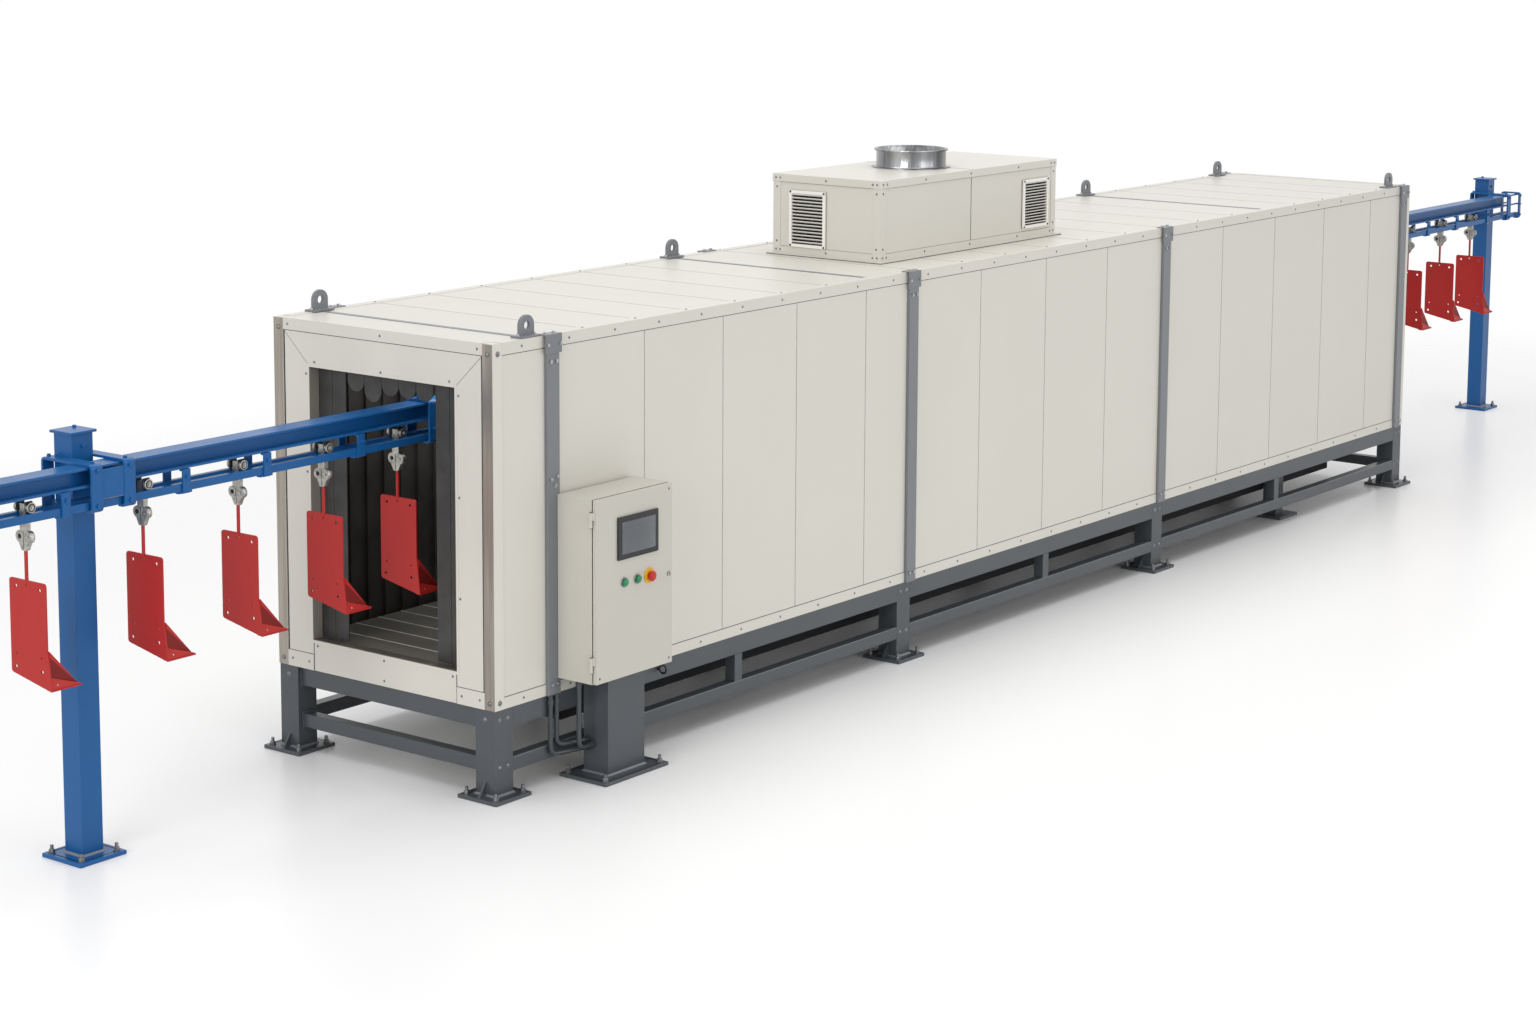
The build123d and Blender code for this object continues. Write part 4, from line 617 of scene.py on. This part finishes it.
# Threshold plates on the sills, and the light joints of the deck inside
thresholds = {"x": ((-47, -3), (7683, 7727)), "y": 386, "z": (475.0, 476.6), "bevel": 0.6}
bm = bmesh.new()
for start, stop in thresholds["x"]:
    addSlab(bm, (start, -thresholds["y"], thresholds["z"][0]), (stop, thresholds["y"], thresholds["z"][1]),
            bevel=thresholds["bevel"])
keepPiece("thresholdPlates", bm, "thresholdSteel")

deck = {"joints": range(142, 7660, 130), "from": -0.5, "to": 4.5, "y": 479, "z": (464.0, 466.0)}
bm = bmesh.new()
for x in deck["joints"]:
    addSlab(bm, (x + deck["from"], -deck["y"], deck["z"][0]), (x + deck["to"], deck["y"], deck["z"][1]))
keepPiece("deckJoints", bm, "deckJointFiller", smooth=False)
print("joints made")

# Fan housing: screws along the lid skirt and foot band, corner screws, louvre screws and black slabs behind the
# louvres as painted shade
fanRows = {"x": (fanX0 + 16, fanX0 + 46, 3189, 3565, 3977, fanX1 - 46, fanX1 - 16), "y": (-286, -262, 0, 262, 286),
           "skirt": (6, fanTop + 18), "foot": (3, 1773)}
rivets = []
for hand in hands:
    for x in fanRows["x"]:
        for proud, z in (fanRows["skirt"], fanRows["foot"]):
            rivets.append(facing((x, hand * (fanY + proud), z), (0, hand, 0)))
for end, out in ((fanX0, -1), (fanX1, 1)):
    for y in fanRows["y"]:
        for proud, z in (fanRows["skirt"], fanRows["foot"]):
            rivets.append(facing((end + out * proud, y, z), (out, 0, 0)))
scatter("fanRivets", panScrew, rivets, "dullScrewSteel")

fanAngles = {"z": (1812, 2064), "y": 282, "back": 19, "proud": 3}
fanPlaces = []
for end, out in ((fanX0, -1), (fanX1, 1)):
    for hand in hands:
        for z in fanAngles["z"]:
            fanPlaces.append(facing((end + out * fanAngles["proud"], hand * fanAngles["y"], z), (out, 0, 0)))
            fanPlaces.append(facing((end - out * fanAngles["back"], hand * (fanY + fanAngles["proud"]), z),
                                    (0, hand, 0)))
scatter("fanCornerScrews", panScrew, fanPlaces, "dullScrewSteel")

louvre = {"z": 1922, "endY": 103, "sideX": 4132, "frame": 12, "endScrews": (95, 124), "sideScrews": (105, 111),
          "endBack": (100, 128), "sideBack": (110, 115), "backDepth": (5, 9), "backBevel": 1}
louvres = [facing((fanX0 - louvre["frame"], louvre["endY"] + i * louvre["endScrews"][0],
                   louvre["z"] + j * louvre["endScrews"][1]), (-1, 0, 0)) for i in hands for j in hands]
louvres += [facing((louvre["sideX"] + i * louvre["sideScrews"][0], -fanY - louvre["frame"],
                    louvre["z"] + j * louvre["sideScrews"][1]), (0, -1, 0)) for i in hands for j in hands]
scatter("louvreScrews", panScrew, louvres, "blackOxideSteel")
bm = bmesh.new()
wide, tall = louvre["endBack"]
front, back = louvre["backDepth"]
addSlab(bm, (fanX0 + front, louvre["endY"] - wide, louvre["z"] - tall),
        (fanX0 + back, louvre["endY"] + wide, louvre["z"] + tall), bevel=louvre["backBevel"])
wide, tall = louvre["sideBack"]
addSlab(bm, (louvre["sideX"] - wide, -fanY + front, louvre["z"] - tall),
        (louvre["sideX"] + wide, -fanY + back, louvre["z"] + tall), bevel=louvre["backBevel"])
keepPiece("louvreShadeBacks", bm, "louvreShadow")

# Middle joint of the fan housing and its lid
fanSplit = {"x": (3574, 3578), "z": (1789, 2087), "lidY": 305, "sunk": 0.5, "proud": 0.4}
bm = bmesh.new()
for hand in hands:
    addSlab(bm, (fanSplit["x"][0], hand * (fanY - fanSplit["sunk"]), fanSplit["z"][0]),
            (fanSplit["x"][1], hand * (fanY + fanSplit["proud"]), fanSplit["z"][1]))
addSlab(bm, (fanSplit["x"][0], -fanSplit["lidY"], fanLid - fanSplit["sunk"]),
        (fanSplit["x"][1], fanSplit["lidY"], fanLid + fanSplit["proud"]))
keepPiece("fanJoint", bm, "darkJoint", smooth=False)

# Fine shadow lines where the angles, lid skirt and foot band meet the fan panels
lines = {"wide": 2.2, "sunk": 0.4, "proud": 0.5, "inX": 35.2, "endY": 265.2, "uprightZ": (1790, 2087),
         "levelZ": (1788.5, 2087.8 - 2.2), "levelIn": 36}
bm = bmesh.new()
for hand in hands:
    near, far = hand * (fanY - lines["sunk"]), hand * (fanY + lines["proud"])
    for x in (fanX0 + lines["inX"], fanX1 - lines["inX"] - lines["wide"]):
        addSlab(bm, (x, near, lines["uprightZ"][0]), (x + lines["wide"], far, lines["uprightZ"][1]))
    for z in lines["levelZ"]:
        addSlab(bm, (fanX0 + lines["levelIn"], near, z), (fanX1 - lines["levelIn"], far, z + lines["wide"]))
for end, out in ((fanX0, -1), (fanX1, 1)):
    near, far = end - out * lines["sunk"], end + out * lines["proud"]
    for y in (-lines["endY"], lines["endY"] - lines["wide"]):
        addSlab(bm, (near, y, lines["uprightZ"][0]), (far, y + lines["wide"], lines["uprightZ"][1]))
    for z in lines["levelZ"]:
        addSlab(bm, (near, -fanY + lines["levelIn"], z), (far, fanY - lines["levelIn"], z + lines["wide"]))
keepPiece("fanFrameLines", bm, "sealStrip", smooth=False)

# Rolled collar round the foot of the exhaust spigot
collarX = 3510
collar = turnedPattern([(165.3, 9.0), (167.0, 9.5), (169.5, 6.0), (184.0, 5.0), (187.0, 3.5), (187.0, 0.2)], 72)
scatter("spigotCollar", collar, [facing((collarX, 0, fanLid), (0, 0, 1))], "ductStainless")
print("fan unit dressed")

# Carrier line: bolts of the yokes, hangers, posts and end frames
lineBolts = {
    "yokes": (-1492.8, -1347.2, 10357.2), "yokeFace": (-65, (1308, 1434)), "yokeTop": ((190, -40), 1456),
    "tunnelYokes": (175, 7505), "tunnelYoke": (65, 1345), "hanger": (55, 1348),
    "hangers": (-1620, -1080, -690, -210, 7900, 9160, 9580, 10050), "postFace": (-47.5, 1492), "postTop": (30, 1545),
    "endFrames": (-1937.5, 10527.5), "endFace": (-65, (1310, 1436)), "spin": 0.3,
}
spin = lineBolts["spin"]
linePlaces = []
for x in lineBolts["yokes"]:
    y, heights = lineBolts["yokeFace"]
    linePlaces += [facing((x, y, z), (0, -1, 0), spin) for z in heights]
    across, z = lineBolts["yokeTop"]
    linePlaces += [facing((x, y, z), (0, 0, 1), spin) for y in across]
for xs, (y, z) in ((lineBolts["tunnelYokes"], lineBolts["tunnelYoke"]),
                   (lineBolts["hangers"], lineBolts["hanger"])):
    linePlaces += [facing((x, hand * y, z), (0, hand, 0), spin) for x in xs for hand in hands]
for x, y in cad["posts"]:
    out, z = lineBolts["postFace"]
    linePlaces.append(facing((x, y + out, z), (0, -1, 0), spin))
    out, z = lineBolts["postTop"]
    linePlaces.append(facing((x + out, y + out, z), (0, 0, 1), spin))
y, heights = lineBolts["endFace"]
linePlaces += [facing((x, y, z), (0, -1, 0), spin) for x in lineBolts["endFrames"] for z in heights]
scatter("lineBolts", smallHex, linePlaces, "blueLineEnamel")

# Trolleys: hub bolt of each wheel with a black ring as painted shade in its groove, and rim, bolt and a black disc as
# painted shade in the hole of the two lobes on each clevis
trolley = {"wheelZ": 1343, "hubY": 39.4, "ringY": 37.0, "lobeX": 9, "lobeY": 20, "lobeZ": 1240}
hubPlaces, ringPlaces, lobePlaces, holePlaces = [], [], [], []
for x in cad["carriers"]:
    for hand in hands:
        hubPlaces.append(facing((x, hand * trolley["hubY"], trolley["wheelZ"]), (0, hand, 0), random.random()))
        ringPlaces.append(facing((x, hand * trolley["ringY"], trolley["wheelZ"]), (0, hand, 0)))
        bolted = (x + hand * trolley["lobeX"], hand * trolley["lobeY"], trolley["lobeZ"])
        bare = (x + hand * trolley["lobeX"], -hand * trolley["lobeY"], trolley["lobeZ"])
        hubPlaces.append(facing(bolted, (hand, 0, 0), random.random()))
        lobePlaces += [facing(bolted, (hand, 0, 0)), facing(bare, (hand, 0, 0))]
        holePlaces.append(facing(bare, (hand, 0, 0)))
scatter("wheelBolts", hexPattern(9, 4, 6.2, 0.8), hubPlaces, "zincPlatedSteel")
wheelRing = turnedPattern([(10.5, 0.0), (10.5, 0.25), (14.5, 0.25), (14.5, 0.0)], 24)
scatter("wheelGrooveShade", wheelRing, ringPlaces, "louvreShadow")
lobeRim = turnedPattern([(13.5, 0.0), (14.0, 1.1), (15.0, 1.6), (17.0, 1.6), (18.4, 0.9), (18.8, 0.0)], 28)
scatter("lobeRims", lobeRim, lobePlaces, "zincCasting")
lobeHole = turnedPattern([(0, 0.3), (8.6, 0.3), (9.0, 0.0)], 20)
scatter("lobeHoleShade", lobeHole, holePlaces, "louvreShadow")

# Split line down each clevis, and the dark roller block between the wheels
rollers = {"split": (8.9, 9.3), "splitY": 1.1, "splitZ": (1196, 1262), "x": 16, "y": (18, 24.5), "z": (1330, 1364),
           "bevel": 2.5}
bm = bmesh.new()
for x in cad["carriers"]:
    for hand in hands:
        addSlab(bm, (x + hand * rollers["split"][0], -rollers["splitY"], rollers["splitZ"][0]),
                (x + hand * rollers["split"][1], rollers["splitY"], rollers["splitZ"][1]))
        addSlab(bm, (x - rollers["x"], hand * rollers["y"][0], rollers["z"][0]),
                (x + rollers["x"], hand * rollers["y"][1], rollers["z"][1]), bevel=rollers["bevel"])
keepPiece("rollerBlocks", bm, "blackOxideSteel")


# A triangle of places in mm, drawn out by a vector into a closed wedge. Gives back the far corners
def addWedge(bm, corners, drawn):
    verts = [bm.verts.new(Vector(corner) * mm) for corner in corners]
    grown = bmesh.ops.extrude_face_region(bm, geom=[bm.faces.new(verts)])["geom"]
    moved = [item for item in grown if isinstance(item, bmesh.types.BMVert)]
    bmesh.ops.translate(bm, vec=Vector(drawn) * mm, verts=moved)
    return moved


# Toe of each carrier: sloped tray plate on the gusset, its two rivets, and above them a dark red sheet on the gusset
# as painted shade
toe = {"x": (3.1, 125.0), "face": -106.0, "edge": -117.6, "base": 721.0, "rise": 42.0, "lip": (1.0, 0.1),
       "outer": 2.0, "shadeTop": 112.0, "shadeOuter": (-8, 5), "shadeY": (0.3, -0.5),
       "rivets": ((28, 13.5), (90, 6.0)), "rivetY": -112.8, "rivetTilt": 0.35}
trays, shadeSheets = bmesh.new(), bmesh.new()
toeRivets = []
for x in cad["carriers"]:
    inner, outer = x + toe["x"][0], x + toe["x"][1]
    far = addWedge(trays, ((inner, toe["face"], toe["base"] + toe["rise"]),
                           (inner, toe["edge"], toe["base"] + toe["lip"][0]),
                           (inner, toe["face"], toe["base"] + toe["lip"][1])), (outer - inner, 0, 0))
    max(far, key=lambda vert: vert.co.z).co.z = (toe["base"] + toe["outer"]) * mm
    back, front = toe["shadeY"]
    addWedge(shadeSheets, ((inner, toe["face"] + back, toe["base"] + toe["shadeTop"]),
                       (inner, toe["face"] + back, toe["base"] + toe["rise"]),
                       (outer + toe["shadeOuter"][0], toe["face"] + back, toe["base"] + toe["shadeOuter"][1])),
             (0, front - back, 0))
    for along, up in toe["rivets"]:
        toeRivets.append(facing((x + along, toe["rivetY"], toe["base"] + up), (0, -1, toe["rivetTilt"])))
keepPiece("toeTrays", trays, "redCarrierPaint", smooth=False)
keepPiece("toeShadeSheets", shadeSheets, "redShadePaint", smooth=False)
scatter("toeRivets", rivet, toeRivets, "zincPlatedSteel")
print("line dressed")

# Control cabinet: door screws, display, gasket, button lenses, a black slit as painted shade in the key way of the
# lock, and hinge pins
front = cad["doorFront"]
doorScrews = {"xz": ((728, 1112), (728, 436), (312, 436))}
doorPlaces = [facing((x, front, z), (0, -1, 0)) for x, z in doorScrews["xz"]]
scatter("doorScrews", panScrew, doorPlaces, "dullScrewSteel", "control_door")

display = {"x": (435, 635), "z": (900, 1026), "proud": (10.2, 8.6), "bevel": 0.6}
bm = bmesh.new()
addSlab(bm, (display["x"][0], front - display["proud"][0], display["z"][0]),
        (display["x"][1], front - display["proud"][1], display["z"][1]), bevel=display["bevel"])
keepPiece("displayPane", bm, "displayGlass", "control_door")

gasket = {"y": (-771.9, -769.05), "strips": (((297, 418), (301, 1129)), ((741, 418), (745, 1129)),
                                             ((301, 418), (741, 422)), ((301, 1125), (741, 1129)))}
bm = bmesh.new()
for (x0, z0), (x1, z1) in gasket["strips"]:
    addSlab(bm, (x0, gasket["y"][0], z0), (x1, gasket["y"][1], z1))
keepPiece("doorGasket", bm, "darkJoint", smooth=False)

buttons = {"proud": 12, "z": 788, "x": {"start_button": 457, "reset_button": 535}}
lens = turnedPattern([(0, 2.6), (4, 2.4), (8, 1.5), (11, 0.0)], 24)
for body, x in buttons["x"].items():
    scatter(body + "Lens", lens, [facing((x, front - buttons["proud"], buttons["z"]), (0, -1, 0))], "greenLens",
            body)

# Black slit: painted shade in the key way of the lock
slit = {"x": (724.8, 727.2), "proud": (6.5, 5.5), "z": (767.5, 779.5)}
bm = bmesh.new()
addSlab(bm, (slit["x"][0], front - slit["proud"][0], slit["z"][0]),
        (slit["x"][1], front - slit["proud"][1], slit["z"][1]))
keepPiece("keyWayShade", bm, "louvreShadow", "control_door")

hinges = {"x": 284, "y": -770.5, "z": (460, 1025)}
pins = turnedPattern([(0, 63), (3.0, 63), (3.8, 62), (3.8, 0), (3.0, -1), (0, -1)], 12)
scatter("hingePins", pins, [facing((hinges["x"], hinges["y"], z), (0, 0, 1)) for z in hinges["z"]],
        "darkOiledSteel")

# Eye bolt on the near side beam
eye = {"x": 918, "y": -580, "z": 318, "ring": 17, "wire": 4.5, "out": 26, "stem": (9, 6, 9)}
bm = bmesh.new()
circle = bmesh.ops.create_circle(bm, segments=10, radius=eye["wire"] * mm)["verts"]
bmesh.ops.translate(bm, vec=(eye["ring"] * mm, 0, 0), verts=circle)
bmesh.ops.rotate(bm, cent=(eye["ring"] * mm, 0, 0), matrix=Matrix.Rotation(math.pi / 2, 3, "X"), verts=circle)
bmesh.ops.spin(bm, geom=list(bm.verts) + list(bm.edges), cent=(0, 0, 0), axis=(0, 0, 1), dvec=(0, 0, 0),
               angle=2 * math.pi, steps=24, use_merge=True)
bmesh.ops.transform(bm, matrix=facing((eye["x"], eye["y"] - eye["out"], eye["z"]), (1, 0, 0)), verts=bm.verts)
stemRadius, stemTip, stemLength = eye["stem"]
stem = addCone(bm, 12, stemRadius, stemTip, 0.0, stemLength)
bmesh.ops.transform(bm, matrix=facing((eye["x"], eye["y"], eye["z"]), (0, -1, 0)), verts=stem)
keepPiece("eyeBolt", bm, "darkOiledSteel")

# Switchgear on the mounting plate, seen when the door is open: rails, modules in random widths, wire trunking
switchgear = {
    "rows": (1000, 830, 660, 530), "railX": (335, 707), "railY": (-633, -624), "rail": 17, "railBevel": 0.8,
    "from": 345, "to": 690, "wide": (18, 18, 27, 36, 54), "deep": (44, 52, 60), "skip": (0, 0, 6), "dark": 0.3,
    "back": -632, "tall": 42, "gap": 1.5, "bevel": 1.5, "trunkX": (330, 712), "trunkY": (-660, -624),
    "trunkZ": (58, 92),
}
bm = bmesh.new()
dark = bmesh.new()
for z in switchgear["rows"]:
    addSlab(bm, (switchgear["railX"][0], switchgear["railY"][0], z - switchgear["rail"]),
            (switchgear["railX"][1], switchgear["railY"][1], z + switchgear["rail"]), bevel=switchgear["railBevel"])
    x = switchgear["from"]
    while x < switchgear["to"]:
        wide = random.choice(switchgear["wide"])
        deep = random.choice(switchgear["deep"])
        target = dark if random.random() < switchgear["dark"] else bm
        addSlab(target, (x, switchgear["back"] - deep, z - switchgear["tall"]),
                (x + wide - switchgear["gap"], switchgear["back"], z + switchgear["tall"]), bevel=switchgear["bevel"])
        x += wide + random.choice(switchgear["skip"])
    addSlab(dark, (switchgear["trunkX"][0], switchgear["trunkY"][0], z + switchgear["trunkZ"][0]),
            (switchgear["trunkX"][1], switchgear["trunkY"][1], z + switchgear["trunkZ"][1]),
            bevel=switchgear["bevel"])
keepPiece("switchgearLight", bm, "moduleGrey")
keepPiece("switchgearDark", dark, "moduleDark")
print("cabinet dressed")

# End plates where the cross rails meet the legs, in the base
endPlates = {"y": (480, 474), "rail": (32, 88, 163), "beam": (38, 264, 349.5), "bevel": 1.2}
bm = bmesh.new()
for spots, (reach, low, high) in (((cad["legs"][0], cad["legs"][-1]), endPlates["rail"]),
                                  (cad["legs"], endPlates["beam"])):
    for x in spots:
        for hand in hands:
            addSlab(bm, (x - reach, hand * endPlates["y"][0], low), (x + reach, hand * endPlates["y"][1], high),
                    bevel=endPlates["bevel"])
keepPiece("railEndPlates", bm, "slateSatinPaint")

# Painted highlight: light strips along the tops of the lower rails, between the legs
railHighlight = {"legReach": 54, "y": (577.5, 580.4), "z": (150.4, 153.3)}
bm = bmesh.new()
for start, stop in zip(cad["legs"], cad["legs"][1:]):
    for hand in hands:
        addSlab(bm, (start + railHighlight["legReach"], hand * railHighlight["y"][0], railHighlight["z"][0]),
                (stop - railHighlight["legReach"], hand * railHighlight["y"][1], railHighlight["z"][1]))
keepPiece("railEdgeHighlight", bm, "strapSemiGlossPaint", smooth=False)
print("base dressed")

# Camera of the photograph, in metres
cameraFit = {
    "place": (-8.0997, -7.9935, 3.4418),
    "forward": (0.78794413, 0.60008958, -0.13797295),
    "right": (0.6064905, -0.79507132, 0.00555624),
    "lens": 69.762,
    "sensor": 36.0,
    "shiftY": -0.13802,
    "farthest": 200.0,
}
camData = bpy.data.cameras.new("photoCamera")
camera = bpy.data.objects.new("photoCamera", camData)
bpy.context.scene.collection.objects.link(camera)
forward = Vector(cameraFit["forward"]).normalized()
right = Vector(cameraFit["right"]).normalized()
camera.matrix_world = Matrix.Translation(cameraFit["place"]) @ Matrix(
    (right, right.cross(forward), -forward)).transposed().to_4x4()
camData.sensor_width = cameraFit["sensor"]
camData.lens = cameraFit["lens"]
camData.shift_y = cameraFit["shiftY"]
camData.clip_end = cameraFit["farthest"]
bpy.context.scene.camera = camera

# Soft lamps in metres and watts. The small one fills the dark of the tunnel's entry
softboxes = {
    "topSoftbox": {"place": (3.8, 0.0, 9.0), "target": (3.8, 0.0, 0.0), "size": (14.0, 8.0), "power": 500.0},
    "sideSoftbox": {"place": (2.0, -12.0, 4.0), "target": (3.8, 0.0, 1.0), "size": (12.0, 5.0), "power": 340.0},
    "entrySoftbox": {"place": (-9.0, -2.0, 4.0), "target": (0.0, 0.0, 1.0), "size": (5.0, 5.0), "power": 330.0},
    "tunnelFill": {"place": (1.3, 0.0, 1.66), "target": (1.3, 0.0, 0.0), "size": (2.4, 0.5), "power": 12.0},
}
for name, box in softboxes.items():
    data = bpy.data.lights.new(name, "AREA")
    data.shape = "RECTANGLE"
    data.size, data.size_y = box["size"]
    data.energy = box["power"]
    lamp = bpy.data.objects.new(name, data)
    bpy.context.scene.collection.objects.link(lamp)
    lamp.location = box["place"]
    lamp.visible_camera = False
    lamp.rotation_euler = (Vector(box["target"]) - Vector(box["place"])).to_track_quat("-Z", "Y").to_euler()

# Pale studio floor that fades into the white background away from the object, in metres
studio = {"size": 40.0, "colour": "#fbfbfb", "roughness": 0.32, "gloss": 0.3, "centre": (3.9, 0.0, 0.0),
          "stretch": (0.62, 1.0, 1.0), "start": 3.2, "end": 6.5, "light": 0.56, "background": 1.0}
bm = bmesh.new()
bmesh.ops.create_grid(bm, x_segments=1, y_segments=1, size=studio["size"])
mesh = keepPattern("studioFloor", bm)
floor = bpy.data.objects.new("studioFloor", mesh)
bpy.context.scene.collection.objects.link(floor)
material, tree, shader, where = startMaterial("paleFloor")
shader.inputs["Base Color"].default_value = linear(studio["colour"])
shader.inputs["Roughness"].default_value = studio["roughness"]
shader.inputs["Specular IOR Level"].default_value = studio["gloss"]
centred = addNode(tree, "ShaderNodeVectorMath", {"operation": "SUBTRACT"}, {0: where, 1: studio["centre"]})
scaled = addNode(tree, "ShaderNodeVectorMath", {"operation": "MULTIPLY"},
                 {0: centred.outputs[0], 1: studio["stretch"]})
reach = addNode(tree, "ShaderNodeVectorMath", {"operation": "LENGTH"}, {0: scaled.outputs[0]}).outputs["Value"]
fade = addNode(tree, "ShaderNodeMapRange", inputs={"Value": reach, "From Min": studio["start"],
                                                   "From Max": studio["end"], "To Min": 1.0, "To Max": 0.0})
tree.links.new(fade.outputs["Result"], shader.inputs["Alpha"])
mesh.materials.append(material)
floor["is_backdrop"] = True

# White to the camera and in reflections, softer as a light
world = bpy.data.worlds.new("studioWorld")
bpy.context.scene.world = world
world.use_nodes = True
tree = world.node_tree
tree.nodes.clear()
path = addNode(tree, "ShaderNodeLightPath").outputs
seen = path["Is Camera Ray"]
for ray in ("Is Glossy Ray", "Is Transmission Ray"):
    seen = addNode(tree, "ShaderNodeMath", {"operation": "MAXIMUM"}, {0: seen, 1: path[ray]}).outputs[0]
lit, shown = [addNode(tree, "ShaderNodeBackground", inputs={"Color": linear("#ffffff"), "Strength": studio[key]})
              for key in ("light", "background")]
mixed = addNode(tree, "ShaderNodeMixShader", inputs={"Fac": seen, 1: lit.outputs[0], 2: shown.outputs[0]})
addNode(tree, "ShaderNodeOutputWorld", inputs={"Surface": mixed.outputs[0]})

bpy.context.scene.view_settings.view_transform = "Standard"
print("studio made")

low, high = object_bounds()
